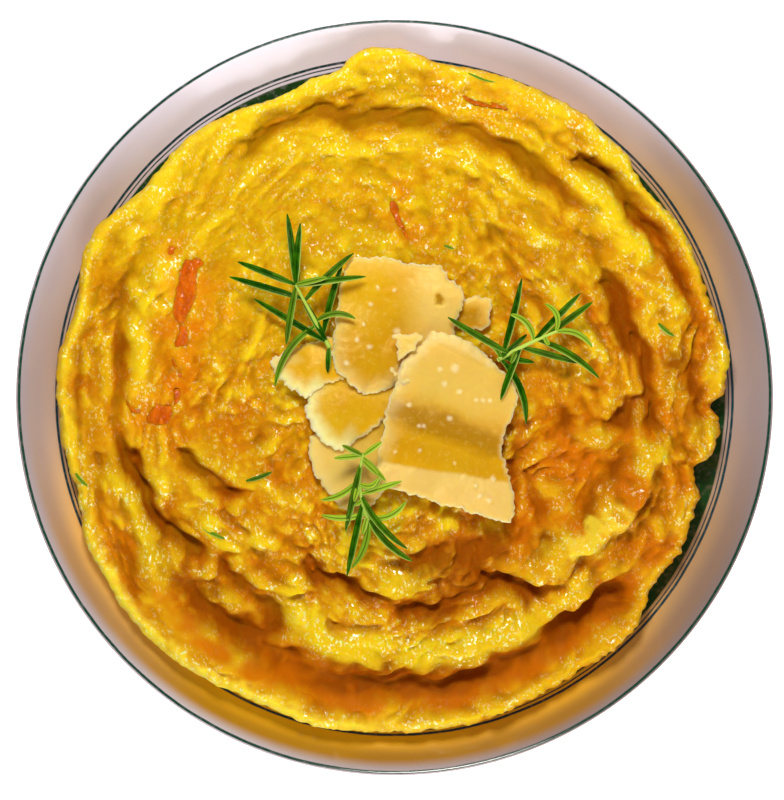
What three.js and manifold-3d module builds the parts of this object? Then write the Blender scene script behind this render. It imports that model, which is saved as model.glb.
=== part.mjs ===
// A round frittata on the dinner plate it is served on, topped with shaved hard cheese and rosemary sprigs.
// Units are millimetres, +Z is up, and the origin is under the middle of the plate's foot ring.
// Directions round the dish are in degrees, clockwise from +Y as seen from above.
import * as THREE from "three";
import { mergeVertices } from "three/addons/utils/BufferGeometryUtils.js";
import Module from "manifold-3d";

const wasm = await Module();
wasm.setup();

// ---- Plate ----
const PLATE_RADIUS = 135;
const PLATE_HEIGHT = 22;
const PLATE_SEGMENTS = 60;
const WELL_Z = 7; // upper face of the plate's flat well
const WELL_RADIUS = 98;
const FOOT_RADIUS = 86;
const FOOT_WIDTH = 4;
const FLOOR_UNDERSIDE_Z = 2.2;

// ---- Frittata ----
const CROWN_Z = 30; // top of the puffed middle
const LIP_Z = 27; // top of the outer rim, before it rolls over
const EDGE_Z = 19; // height at which the rolled edge reaches furthest out
const CROWN_SHARE = 0.35; // share of the radius where the crown starts to fall towards the rim
const LIP_SHARE = 0.9; // share of the radius where it reaches the rim's height
const SHOULDER_SHARE = 0.93; // share of the radius where the rim starts to roll over
const PLATE_GAP = 0.5; // air between the frittata and the plate
const RINGS = 18;
const RING_BIAS = 1.35; // above 1, the rings crowd towards the rim, where the folds are
const SECTORS = 84;
const SIDE = [
  // how far in from the rolled edge, and the height there, going down and under
  [0.9, 16.8],
  [3, 14.6],
  [7, 12.4],
  [13, 9],
  [24, 7.5],
];

// The outline: [direction, radius].
const OUTLINE = [
  [0, 124.5], [8, 120.8], [20, 121], [32, 122.6], [42, 120], [50, 116.5], [58, 119.2], [72, 117.4],
  [82, 120.6], [89, 119], [91.5, 113], [95, 117], [99.5, 116.4], [103.5, 110.5], [109, 115.4], [118, 116.3],
  [126, 114.8], [134, 119.2], [151, 118], [167, 120.2], [180, 120], [196, 121], [204, 119.8], [222, 122.8],
  [243, 122.6], [253, 119], [266, 120], [275, 121.4], [285, 118.6], [297, 123], [312, 116.6], [322, 119.2],
  [339, 115], [348, 118], [356, 125],
];

// Long folds and furrows that lie round the dish: direction and radius at each end, half width towards the
// middle and towards the rim, and height, which is negative for a furrow.
const FOLDS = [
  // the deep furrow inside the near rim
  { from: 122, to: 172, start: 107, end: 102.5, inner: 4.5, outer: 9, height: -8 },
  { from: 160, to: 212, start: 102.5, end: 107, inner: 4.5, outer: 9, height: -8 },
  { from: 194, to: 232, start: 100, end: 102, inner: 5, outer: 5, height: -5.5 },
  { from: 203, to: 230, start: 92, end: 85, inner: 4, outer: 5, height: -5 },
  { from: 224, to: 265, start: 90, end: 99, inner: 3.5, outer: 3.5, height: -6 },
  // shallower furrows of the far side
  { from: 322, to: 375, start: 103, end: 100, inner: 5, outer: 7, height: -4.5 },
  { from: 6, to: 50, start: 98, end: 94, inner: 4, outer: 4, height: -4 },
  { from: 34, to: 80, start: 108, end: 110.5, inner: 3, outer: 4.5, height: -4.5 },
  { from: 58, to: 82, start: 86, end: 87, inner: 4.5, outer: 4.5, height: -4.5 },
  { from: 74, to: 102, start: 87, end: 95, inner: 3.5, outer: 4, height: -4 },
  { from: 264, to: 286, start: 98, end: 101, inner: 3, outer: 3, height: -3 },
  // furrows between the crown's folds
  { from: 88, to: 100, start: 86, end: 77, inner: 5, outer: 5, height: -4 },
  { from: 128, to: 150, start: 104, end: 98, inner: 4, outer: 4, height: -3.5 },
  { from: 142, to: 156, start: 87, end: 68, inner: 5, outer: 5, height: -5 },
  { from: 150, to: 184, start: 76, end: 75, inner: 5, outer: 4, height: -4 },
  { from: 178, to: 212, start: 72, end: 66, inner: 4, outer: 4, height: -3.5 },
  { from: 234, to: 258, start: 67, end: 78, inner: 3.5, outer: 3.5, height: -3 },
  // raised folds
  { from: 97, to: 119, start: 95, end: 92, inner: 5, outer: 4, height: 3 },
  { from: 114, to: 131, start: 92, end: 81, inner: 5, outer: 4, height: 4 },
  { from: 126, to: 146, start: 83, end: 76, inner: 4.5, outer: 4.5, height: 3 },
  { from: 144, to: 186, start: 94, end: 95, inner: 6, outer: 4, height: 2 },
  { from: 180, to: 210, start: 94, end: 86, inner: 6, outer: 4, height: 2 },
  { from: 36, to: 64, start: 102, end: 103, inner: 5, outer: 3, height: 2 },
  { from: 263, to: 308, start: 87, end: 93, inner: 6, outer: 8, height: 2 },
];
const FOLD_FADE = 0.22; // share of a fold's length over which each end fades out

// ---- Slices of the filling that break the surface ----
const STRIP_GAP = 0.3;
const STRIP_DEPTH = 3;
const STRIP_PROUD = 0.4;
const STRIP_GRID = 4; // size of the squares that a slice bends over
const STRIP_END_SHARE = 0.55; // width of a slice's ends, as a share of its middle's
const STRIP_STEPS = 4; // steps along a slice's outline
const STRIPS = [
  { name: "carrot_slice_long", from: 287, to: 304.5, start: 82.5, end: 84.5, width: 8 },
  { name: "carrot_slice_short", from: 263, to: 268, start: 84, end: 83.5, width: 9.5 },
  { name: "ham_slice_inner", from: -1.5, to: 5, start: 68.5, end: 59.5, width: 3 },
  { name: "ham_slice_outer", from: 12, to: 22, start: 109.2, end: 109.8, width: 3 },
];

// ---- Cheese shavings, the lowest first; "over" names those that each one lies on ----
const CHEESE_THICKNESS = 1.5;
const CHEESE_GAP = 0.4;
const CHEESE_RAMP = [4.5, 10]; // distances outside a lower shaving between which an upper one comes down
const SHAVINGS = [
  {
    name: "cheese_shaving_far",
    over: [],
    outline: [[18, 25], [30.7, 23.4], [33.8, 26], [33.8, 34.4], [24, 35.2], [17, 33]],
  },
  {
    name: "cheese_shaving_near",
    over: [],
    outline: [
      [-26, -15], [-29.6, -13.6], [-30, -20], [-28.6, -26.4], [-19.5, -38.3], [-11.3, -43.8], [-8, -37],
      [-4.1, -29.8], [0.2, -22.6], [-5.2, -15.5], [-17.7, -17],
    ],
  },
  {
    name: "cheese_shaving_left_lower",
    over: ["cheese_shaving_near"],
    outline: [
      [-29.6, -0.8], [-31.4, -7.1], [-26, -16.2], [-18.6, -18.6], [-11.3, -14.4], [-5.2, -9], [-2, -3],
      [-3, 4], [-15.9, 4.3], [-24.2, 4.3],
    ],
  },
  {
    name: "cheese_shaving_left_upper",
    over: ["cheese_shaving_left_lower"],
    outline: [
      [-43.3, 14], [-42.1, 8.2], [-36.8, 2.9], [-30.2, -0.8], [-27.1, 2.5], [-24.2, 5], [-19.5, 9],
      [-21, 17], [-32, 18],
    ],
  },
  {
    name: "cheese_shaving_top",
    over: ["cheese_shaving_far", "cheese_shaving_left_lower", "cheese_shaving_left_upper"],
    outline: [
      [-15.4, 48.8], [-3, 48.8], [6.1, 46.4], [16.2, 46], [19.4, 40.5], [23.5, 38.7], [24.3, 33.7],
      [21.8, 26.9], [16.4, 16.8], [2, 12.2], [-0.3, 5.2], [-11.3, 0.7], [-19.5, 8.4], [-22.3, 14.8],
      [-21.3, 21.2], [-18.6, 40.5],
    ],
  },
  {
    name: "cheese_shaving_right",
    over: ["cheese_shaving_near", "cheese_shaving_left_lower", "cheese_shaving_top"],
    outline: [
      [13.5, 22.6], [21.8, 21.1], [30.9, 15.8], [35.4, 11.1], [41.9, 4.7], [43.2, -2.5], [39.1, -11.7],
      [37.3, -18.1], [40.5, -28.2], [42.3, -39.2], [40.5, -44.2], [16.2, -37.4], [-3, -31], [-6.7, -26.4],
      [-3.9, -11.7], [-3.5, -5.3], [-0.3, 2.9], [2, 12.2], [7, 15.8],
    ],
  },
];
const CHEESE_GRID = 6; // size of the squares that a shaving bends over

// ---- Rosemary sprigs ----
// Heights are above the crown. Each needle is [share of the stem's length where it starts, direction, length
// seen from above, height of its tip, sideways bow as a share of its length, to the right if positive].
const NEEDLE_WIDTH = 2.7;
const NEEDLE_THICKNESS = 1.1;
const NEEDLE_CLEARANCE = 0.9; // from a needle's middle to what lies under it
const NEEDLE_ARCH = 0.1; // how far a needle arches up, as a share of its length
const SHORT_NEEDLE = 12;
const STEM_WIDTH = 1.8;
const SPRIGS = [
  {
    name: "rosemary_sprig_left",
    foot: [-22.6, 17, 4],
    tip: [-34.4, 38.9, 10],
    needles: [
      [1, 357, 24, 7, 0], [0.98, 1, 20, 10, 0], [1, 292, 22, 6, 0], [0.78, 287, 27.3, 3, 0],
      [0.74, 45, 24, 5, 0], [0.98, 82, 24.3, 7, 0], [1, 78, 11.5, 12, 0], [0.2, 15, 26, 4, 0],
      [0.98, 190, 20.5, 6, 0], [0.37, 215, 26, 1, 0.24], [0.42, 86, 14, 8, -0.32],
      [0.09, 301, 30, 2, 0], [0.1, 331, 18, 5, 0], [0.02, 183, 9, 4, 0],
    ],
  },
  {
    name: "rosemary_sprig_right",
    foot: [36.2, 12.9, 4],
    tip: [56.7, 22.9, 9],
    needles: [
      [0.07, 14, 28.5, 5, 0], [0.2, 300, 25, 8, 0], [0.61, 44, 23, 9, 0], [0.82, 54, 20, 6, 0],
      [0.97, 336, 10.4, 14, 0.46], [0.96, 112, 14, 7, -0.33], [0.61, 316, 12.7, 13, 0.36],
      [0.66, 121, 26, 2, -0.13], [0.4, 105, 21, 3, 0], [0.39, 201, 19.5, 6, 0],
      [0.04, 158, 24.5, 2, -0.2], [0.04, 312, 8.5, 6, 0.36], [0.07, 98, 11.5, 2, 0],
    ],
  },
  {
    name: "rosemary_sprig_near",
    foot: [-8.9, -43.1, 3],
    tip: [-10.7, -19.4, 9],
    needles: [
      [0.96, 54, 8.2, 13, 0], [0.96, 265, 10, 11, 0], [0.94, 136, 11.5, 9, 0],
      [0.53, 74, 7.5, 9, 0.5], [0.62, 241, 15.5, 4, -0.22], [0.39, 72, 15, 8, 0], [0.85, 193, 24.5, 3, 0],
      [0.1, 268, 15.7, 4, -0.17], [0.26, 192, 26.4, 1, 0], [0.03, 66, 14.5, 5, 0.32],
      [0.4, 140, 25.4, 3, 0.15], [0.04, 135, 22, 1, 0.15], [0.03, 198, 18.5, 1, -0.2],
      [0.02, 152, 7.5, 1, 0],
    ],
  },
];

const COLOURS = {
  glaze: { color: 0xe9ddd8, roughness: 0.15, metalness: 0 },
  egg: { color: 0xefb41a, roughness: 0.42, metalness: 0 },
  cheese: { color: 0xebb548, roughness: 0.45, metalness: 0 },
  carrot: { color: 0xe2600f, roughness: 0.4, metalness: 0 },
  ham: { color: 0xc4512a, roughness: 0.45, metalness: 0 },
  rosemary: { color: 0x2f7a22, roughness: 0.5, metalness: 0 },
};

// ---- Small helpers ----
const lerp = THREE.MathUtils.lerp;
const degToRad = THREE.MathUtils.degToRad;
const smooth = (low, high, x) => THREE.MathUtils.smoothstep(x, low, high);
const place = (direction, radius) => [
  radius * Math.sin(degToRad(direction)),
  radius * Math.cos(degToRad(direction)),
];
const directionOf = (x, y) => (THREE.MathUtils.radToDeg(Math.atan2(x, y)) + 360) % 360;

function makeMesh(name, geometry, finish) {
  geometry.computeVertexNormals();
  const mesh = new THREE.Mesh(geometry, new THREE.MeshStandardMaterial(finish));
  mesh.name = name;
  return mesh;
}

function toSolid(geometry) {
  const bare = new THREE.BufferGeometry();
  bare.setAttribute("position", geometry.getAttribute("position"));
  bare.setIndex(geometry.index);
  const merged = mergeVertices(bare, 1e-4);
  return new wasm.Manifold(
    new wasm.Mesh({
      numProp: 3,
      vertProperties: merged.attributes.position.array,
      triVerts: new Uint32Array(merged.index.array),
    }),
  );
}

function toGeometry(solid) {
  const mesh = solid.getMesh();
  const geometry = new THREE.BufferGeometry();
  geometry.setAttribute("position", new THREE.BufferAttribute(mesh.vertProperties, 3));
  geometry.setIndex(new THREE.BufferAttribute(mesh.triVerts, 1));
  return geometry;
}

function geometryOf(points, triangles) {
  const geometry = new THREE.BufferGeometry();
  geometry.setAttribute("position", new THREE.Float32BufferAttribute(points.flat(), 3));
  geometry.setIndex(triangles.flat());
  return geometry;
}

// Closed skin over equal rings of points, with a pole at each end. The rings turn anticlockwise seen from
// the first pole.
function skinOverRings(firstPole, rings, lastPole) {
  const count = rings[0].length;
  const points = [firstPole, ...rings.flat(), lastPole];
  const at = (ring, k) => 1 + ring * count + (k % count);
  const last = points.length - 1;
  const triangles = [];
  for (let k = 0; k < count; k++) {
    triangles.push([0, at(0, k), at(0, k + 1)]);
    for (let ring = 0; ring + 1 < rings.length; ring++) {
      triangles.push([at(ring, k), at(ring + 1, k), at(ring + 1, k + 1)]);
      triangles.push([at(ring, k), at(ring + 1, k + 1), at(ring, k + 1)]);
    }
    triangles.push([last, at(rings.length - 1, k + 1), at(rings.length - 1, k)]);
  }
  return geometryOf(points, triangles);
}

// ---- Plate ----
// The upper face of the plate, from the edge of the well out to the rim, and the underside back in again.
const RIM_FACE = [
  [WELL_RADIUS, WELL_Z], [106, 7.9], [113, 9.6], [119, 12.1], [125, 15.4], [130, 18.8], [133, 21.2],
];
const RIM_EDGE = [
  [134.2, PLATE_HEIGHT], [PLATE_RADIUS, 21.4], [134.8, 20.6],
];
const UNDERSIDE = [
  [131, 16.8], [125, 12.2], [118, 8], [108, 4.4], [94, 2.9], [FOOT_RADIUS + 1, 2.7], [FOOT_RADIUS, 0],
  [FOOT_RADIUS - FOOT_WIDTH, 0], [FOOT_RADIUS - FOOT_WIDTH - 1, FLOOR_UNDERSIDE_Z],
];

function plateTop(radius) {
  if (radius <= WELL_RADIUS) return WELL_Z;
  const next = RIM_FACE.findIndex(([r]) => r >= radius);
  if (next < 0) return PLATE_HEIGHT;
  const [r0, z0] = RIM_FACE[next - 1];
  const [r1, z1] = RIM_FACE[next];
  return lerp(z0, z1, (radius - r0) / (r1 - r0));
}

function makePlate() {
  const profile = [[0, FLOOR_UNDERSIDE_Z], ...UNDERSIDE.toReversed(), ...RIM_EDGE.toReversed()];
  profile.push(...RIM_FACE.toReversed(), [0, WELL_Z]);
  const lathe = new THREE.LatheGeometry(
    profile.map(([r, z]) => new THREE.Vector2(r, z)),
    PLATE_SEGMENTS,
  );
  lathe.rotateX(Math.PI / 2); // the lathe turns about Y
  return makeMesh("plate", lathe, COLOURS.glaze);
}

// ---- Frittata ----
// Radius of the outline in a direction, easing from one listed point to the next.
function outlineRadius(direction) {
  const turned = ((direction % 360) + 360) % 360;
  const next = OUTLINE.findIndex(([d]) => d > turned);
  const [d1, r1] = next < 0 ? [OUTLINE[0][0] + 360, OUTLINE[0][1]] : OUTLINE[next];
  const [d0, r0] = OUTLINE[(next < 0 ? OUTLINE.length : next) - 1];
  return lerp(r0, r1, smooth(d0, d1, turned));
}

// Height that one fold adds at a point.
function foldHeight(fold, direction, radius) {
  const middle = (fold.from + fold.to) / 2;
  const away = ((direction - middle + 540) % 360) - 180;
  const along = 0.5 + away / (fold.to - fold.from);
  if (along <= 0 || along >= 1) return 0;
  const off = radius - lerp(fold.start, fold.end, along);
  const across = off / (off < 0 ? fold.inner : fold.outer);
  const ends = smooth(0, FOLD_FADE, along) * smooth(0, FOLD_FADE, 1 - along);
  return fold.height * ends * Math.exp(-across * across);
}

// Height of the frittata's upper face.
function frittataTop(direction, radius) {
  const share = Math.min(1, radius / outlineRadius(direction));
  let z = lerp(CROWN_Z, LIP_Z, smooth(CROWN_SHARE, LIP_SHARE, share));
  for (const fold of FOLDS) z += foldHeight(fold, direction, radius);
  const rolled = Math.max(0, (share - SHOULDER_SHARE) / (1 - SHOULDER_SHARE));
  return lerp(z, EDGE_Z, 1 - Math.sqrt(1 - rolled * rolled));
}

function frittataSolid() {
  const directions = Array.from({ length: SECTORS }, (_, k) => (-360 * k) / SECTORS);
  const rings = [];
  for (let i = 1; i <= RINGS; i++) {
    const share = 1 - (1 - i / RINGS) ** RING_BIAS;
    rings.push(
      directions.map((d) => {
        const radius = share * outlineRadius(d);
        return [...place(d, radius), frittataTop(d, radius)];
      }),
    );
  }
  for (const [inset, z] of SIDE)
    rings.push(
      directions.map((d) => {
        const radius = outlineRadius(d) - inset;
        return [...place(d, radius), Math.max(z, plateTop(radius) + PLATE_GAP)];
      }),
    );
  return toSolid(skinOverRings([0, 0, CROWN_Z], rings, [0, 0, WELL_Z + PLATE_GAP]));
}

// ---- Solids that follow a surface ----
// The part of a vertical prism that lies between two heights, each a function of x and y. The heights are
// taken on one lattice for the whole dish, so two layers that clear each other there do so everywhere.
function layerSolid(outline, grid, top, bottom) {
  const xs = outline.map(([x]) => x);
  const ys = outline.map(([, y]) => y);
  const first = [Math.min(...xs), Math.min(...ys)].map((low) => Math.floor(low / grid) - 1);
  const last = [Math.max(...xs), Math.max(...ys)].map((high) => Math.ceil(high / grid) + 1);
  const columns = last[0] - first[0];
  const rows = last[1] - first[1];
  const points = [];
  for (const height of [top, bottom])
    for (let j = 0; j <= rows; j++)
      for (let i = 0; i <= columns; i++) {
        const x = (first[0] + i) * grid;
        const y = (first[1] + j) * grid;
        points.push([x, y, height(x, y)]);
      }
  const upper = (i, j) => j * (columns + 1) + i;
  const lower = (i, j) => upper(i, j) + (columns + 1) * (rows + 1);
  const triangles = [];
  for (let j = 0; j < rows; j++)
    for (let i = 0; i < columns; i++) {
      triangles.push([upper(i, j), upper(i + 1, j), upper(i + 1, j + 1)]);
      triangles.push([upper(i, j), upper(i + 1, j + 1), upper(i, j + 1)]);
      triangles.push([lower(i, j), lower(i + 1, j + 1), lower(i + 1, j)]);
      triangles.push([lower(i, j), lower(i, j + 1), lower(i + 1, j + 1)]);
    }
  const wall = (a, b) => {
    triangles.push([upper(...a), lower(...a), lower(...b)], [upper(...a), lower(...b), upper(...b)]);
  };
  for (let i = 0; i < columns; i++) {
    wall([i, 0], [i + 1, 0]);
    wall([i + 1, rows], [i, rows]);
  }
  for (let j = 0; j < rows; j++) {
    wall([columns, j], [columns, j + 1]);
    wall([0, j + 1], [0, j]);
  }
  const slab = toSolid(geometryOf(points, triangles));
  const heights = points.map(([, , z]) => z);
  const foot = Math.min(...heights) - 1;
  const prism = new THREE.ExtrudeGeometry(
    new THREE.Shape(outline.map(([x, y]) => new THREE.Vector2(x, y))),
    { depth: Math.max(...heights) + 1 - foot, bevelEnabled: false },
  );
  prism.translate(0, 0, foot);
  return slab.intersect(toSolid(prism));
}

// ---- Filling slices ----
// Outline of a slice that runs along an arc, with rounded ends.
function stripOutline(strip, grow) {
  const near = [];
  const far = [];
  for (let k = 0; k <= STRIP_STEPS; k++) {
    const share = k / STRIP_STEPS;
    const radius = lerp(strip.start, strip.end, share);
    const reach = (2 * share - 1) * THREE.MathUtils.radToDeg(grow / radius);
    const direction = lerp(strip.from, strip.to, share) + reach;
    const half = (strip.width / 2) * lerp(STRIP_END_SHARE, 1, Math.sin(Math.PI * share)) + grow;
    near.push(place(direction, radius - half));
    far.push(place(direction, radius + half));
  }
  return [...near, ...far.toReversed()];
}

function stripSolid(strip, grow) {
  const surface = (x, y) => frittataTop(directionOf(x, y), Math.hypot(x, y));
  return layerSolid(
    stripOutline(strip, grow),
    STRIP_GRID,
    (x, y) => surface(x, y) + STRIP_PROUD + (grow ? STRIP_DEPTH : 0),
    (x, y) => surface(x, y) - STRIP_DEPTH - grow,
  );
}

// ---- Cheese ----
// Distance from a point to a closed outline, negative inside it.
function distanceTo(outline, x, y) {
  let nearest = Infinity;
  let inside = false;
  outline.forEach(([ax, ay], k) => {
    const [bx, by] = outline[(k + 1) % outline.length];
    const [ex, ey] = [bx - ax, by - ay];
    const along = THREE.MathUtils.clamp(((x - ax) * ex + (y - ay) * ey) / (ex * ex + ey * ey), 0, 1);
    nearest = Math.min(nearest, Math.hypot(x - ax - along * ex, y - ay - along * ey));
    if (ay > y !== by > y && x < ax + (ex * (y - ay)) / ey) inside = !inside;
  });
  return inside ? -nearest : nearest;
}

// How far the shavings below lift a shaving at a point.
function cheeseLift(shaving, x, y) {
  const lower = SHAVINGS.filter(({ name }) => shaving.over.includes(name));
  return lower.reduce((most, below) => {
    const carried = 1 - smooth(...CHEESE_RAMP, distanceTo(below.outline, x, y));
    return Math.max(most, carried * (cheeseLift(below, x, y) + CHEESE_THICKNESS + CHEESE_GAP));
  }, 0);
}

function cheeseUnderside(shaving, x, y) {
  const bed = Math.max(CROWN_Z, frittataTop(directionOf(x, y), Math.hypot(x, y)));
  return bed + CHEESE_GAP + cheeseLift(shaving, x, y);
}

function makeShaving(shaving) {
  const bottom = (x, y) => cheeseUnderside(shaving, x, y);
  const solid = layerSolid(shaving.outline, CHEESE_GRID, (x, y) => bottom(x, y) + CHEESE_THICKNESS, bottom);
  return makeMesh(shaving.name, toGeometry(solid), COLOURS.cheese);
}

// ---- Rosemary ----
// Height of whatever lies highest at a point.
function restHeight(x, y) {
  const covering = SHAVINGS.filter(({ outline }) => distanceTo(outline, x, y) < NEEDLE_WIDTH);
  return covering.reduce(
    (z, shaving) => Math.max(z, cheeseUnderside(shaving, x, y) + CHEESE_THICKNESS),
    frittataTop(directionOf(x, y), Math.hypot(x, y)),
  );
}

const onTop = (x, y, z) => new THREE.Vector3(x, y, Math.max(z, restHeight(x, y) + NEEDLE_CLEARANCE));

// A flat tapered blade with a four-sided section along a curve.
function bladeSolid(curve, width, thickness, steps) {
  const up = new THREE.Vector3(0, 0, 1);
  const rings = [];
  for (let k = 1; k < steps; k++) {
    const share = k / steps;
    const side = new THREE.Vector3().crossVectors(curve.getTangent(share), up).normalize();
    const lift = new THREE.Vector3().crossVectors(side, curve.getTangent(share)).normalize();
    const centre = curve.getPoint(share);
    const swell = Math.sqrt(Math.sin(Math.PI * (0.12 + 0.8 * share))); // fullest just before the middle
    const corner = (across, above) =>
      centre
        .clone()
        .addScaledVector(side, (across * swell * width) / 2)
        .addScaledVector(lift, (above * swell * thickness) / 2)
        .toArray();
    rings.push([corner(1, 0), corner(0, 1), corner(-1, 0), corner(0, -1)]);
  }
  return toSolid(skinOverRings(curve.getPoint(0).toArray(), rings, curve.getPoint(1).toArray()));
}

function needleSolid(stem, [share, direction, length, tipHeight, bow]) {
  const start = stem.getPoint(THREE.MathUtils.clamp(share, 0.06, 0.94));
  const [dx, dy] = place(direction, length);
  const end = onTop(start.x + dx, start.y + dy, CROWN_Z + tipHeight);
  const middle = start.clone().lerp(end, 0.5);
  const arched = onTop(middle.x + bow * dy, middle.y - bow * dx, middle.z + NEEDLE_ARCH * length);
  const curve = new THREE.QuadraticBezierCurve3(start, arched, end);
  return bladeSolid(curve, NEEDLE_WIDTH, NEEDLE_THICKNESS, length < SHORT_NEEDLE ? 3 : 4);
}

function makeSprig({ name, foot, tip, needles }) {
  const stem = new THREE.LineCurve3(
    onTop(foot[0], foot[1], CROWN_Z + foot[2]),
    onTop(tip[0], tip[1], CROWN_Z + tip[2]),
  );
  let sprig = bladeSolid(stem, STEM_WIDTH, STEM_WIDTH, 4);
  for (const needle of needles) sprig = sprig.add(needleSolid(stem, needle));
  return makeMesh(name, toGeometry(sprig), COLOURS.rosemary);
}

// ---- The dish ----
function makeFilledFrittata() {
  let frittata = frittataSolid();
  const slices = STRIPS.map((strip) => {
    frittata = frittata.subtract(stripSolid(strip, STRIP_GAP));
    const finish = strip.name.startsWith("ham") ? COLOURS.ham : COLOURS.carrot;
    return makeMesh(strip.name, toGeometry(stripSolid(strip, 0)), finish);
  });
  return [makeMesh("frittata", toGeometry(frittata), COLOURS.egg), ...slices];
}

const dish = new THREE.Group();
dish.add(makePlate(), ...makeFilledFrittata(), ...SHAVINGS.map(makeShaving), ...SPRIGS.map(makeSprig));

export default dish;
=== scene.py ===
"""A frittata on its dinner plate, topped with shaved hard cheese and rosemary.

Shapes are worked out in millimetres and made in metres. Directions round the dish are in degrees, clockwise
from +Y as seen from above. Noise sizes are the lengths of one swell.
"""

import itertools
import math

import bpy
import numpy as np
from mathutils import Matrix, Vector
from mathutils.geometry import delaunay_2d_cdt


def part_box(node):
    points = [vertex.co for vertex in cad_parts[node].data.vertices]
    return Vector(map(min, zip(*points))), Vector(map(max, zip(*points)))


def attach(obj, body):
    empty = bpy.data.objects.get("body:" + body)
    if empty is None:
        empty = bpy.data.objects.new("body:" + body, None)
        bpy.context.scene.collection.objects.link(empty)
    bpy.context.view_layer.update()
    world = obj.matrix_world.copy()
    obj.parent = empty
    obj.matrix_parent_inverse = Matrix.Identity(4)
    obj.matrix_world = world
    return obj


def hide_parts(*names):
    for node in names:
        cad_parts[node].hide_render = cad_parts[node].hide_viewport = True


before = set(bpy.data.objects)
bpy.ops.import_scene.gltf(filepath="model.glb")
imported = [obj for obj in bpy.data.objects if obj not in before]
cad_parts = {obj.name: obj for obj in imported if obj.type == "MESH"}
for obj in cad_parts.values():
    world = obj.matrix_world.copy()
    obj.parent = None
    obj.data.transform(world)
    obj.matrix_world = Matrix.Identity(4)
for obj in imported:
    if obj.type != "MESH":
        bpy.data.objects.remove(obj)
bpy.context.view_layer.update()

MM = 0.001
DICE = np.random.default_rng(11)

# ---- Plate ----
PLATE_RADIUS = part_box("plate")[1][0] / MM
PLATE_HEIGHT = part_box("plate")[1][2] / MM
PLATE_TURNS = 256
# Radius and height from the middle of the well, over the rim and back under to the middle.
PLATE_PROFILE = [
    [0, 7], [60, 7], [92, 7], [98, 7.1], [106, 7.9], [113, 9.6], [119, 12.1], [125, 15.4], [130, 18.8],
    [132.6, 20.9], [133.9, 21.85], [134.5, PLATE_HEIGHT], [134.9, 21.7], [PLATE_RADIUS, 21.2],
    [134.7, 20.5], [131, 16.8], [125, 12.2], [118, 8], [108, 4.4], [96, 2.95], [88, 2.7], [86.6, 2.3],
    [86.1, 1], [85.6, 0.15], [84.8, 0], [83.2, 0], [82.4, 0.15], [81.9, 1], [81.2, 1.9], [79, 2.2],
    [50, 2.2], [0, 2.2],
]
# So many points of the profile run from the middle of the well to the top of the rim.
TOP_POINTS = 12
PROFILE_STEPS = 3
# The paint and the tones of the rim keep to what lies higher than this.
RIM_Z = 8
# The painted lines, from the band round the well outwards: inner and outer radius, softness, and colour.
PAINTED_LINES = [
    [108, 119.5, 0.25, (0.008, 0.05, 0.012)],
    [120.4, 120.85, 0.12, (0.02, 0.05, 0.06)],
    [121.5, 122.35, 0.15, (0.006, 0.045, 0.06)],
    [133.4, 134.3, 0.15, (0.004, 0.05, 0.03)],
]
# Painted glow of light from the egg on the rim beside it, and painted light and shade on the rim's glaze, by
# direction.
GOLDEN = [
    [0, 0], [30, 0.25], [60, 0.4], [90, 0.1], [120, 0.28], [150, 0.95], [180, 1], [210, 1], [240, 0.8],
    [270, 0.2], [300, 0.2], [330, 0],
]
# Painted light and shade on the rim: 1 is the white of lit glaze, 0 the rosy grey of shaded glaze.
LIGHT_GLAZE = [
    [0, 0.92], [30, 0.7], [60, 0.06], [90, 0.13], [120, 0], [150, 0.12], [180, 0.42], [210, 0.62],
    [240, 0.38], [270, 0.22], [300, 0.45], [330, 0.9],
]
WELL_LIGHT = 0.4
# Here and below, a colour is the share of red, green and blue light that is thrown back.
# The glaze goes from rosy grey in painted shade to white in painted light; amber and honey are the painted
# glow from the egg.
GLAZE = {
    "white": (0.84, 0.79, 0.92), "rosy grey": (0.27, 0.20, 0.19), "amber": (1, 0.52, 0.01),
    "honey": (0.43, 0.2, 0.008),
}

# ---- Frittata ----
CROWN_Z = 30
LIP_Z = 27
EDGE_Z = 19
# Shares of the radius where the crown starts down, where it has come down to the lip, and where the edge
# starts to roll under.
CROWN_SHARE = 0.35
LIP_SHARE = 0.9
SHOULDER_SHARE = 0.965
# Cells from side to side of the mesh.
CELLS = 296
# A long fold fades in and out over this share of its length.
FOLD_FADE = 0.22
# The swells have their true length round the dish at this radius.
MEAN_RADIUS = 90
# How deep the filling lies in the egg, and how far the egg stays from the plate.
PIT_DEPTH = 2.2
PLATE_CLEARANCE = 0.15
# The shavings all lie this near the middle. Under them the egg levels off so softly.
CHEESE_REACH = 70
CEILING_SOFTNESS = 0.8
# How far in from the rolled edge, and the height there, going down and under.
SIDE = [[0.25, 18], [0.9, 16.8], [3, 14.6], [7, 12.4], [13, 9], [24, 7.6]]

# Radius of the egg's outline, by direction.
OUTLINE = [
    [0, 124.5], [8, 120.8], [20, 121], [32, 122.6], [42, 120], [50, 116.5], [58, 119.2], [72, 117.4],
    [82, 120.6], [89, 119], [91.5, 113], [95, 117], [99.5, 116.4], [103.5, 110.5], [109, 115.4],
    [118, 116.3], [126, 114.8], [134, 119.2], [151, 118], [167, 120.2], [180, 120], [196, 121],
    [204, 119.8], [222, 122.8], [243, 122.6], [253, 119], [266, 120], [275, 121.4], [285, 118.6],
    [297, 123], [312, 116.6], [322, 119.2], [339, 115], [348, 118], [356, 125],
]

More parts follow.
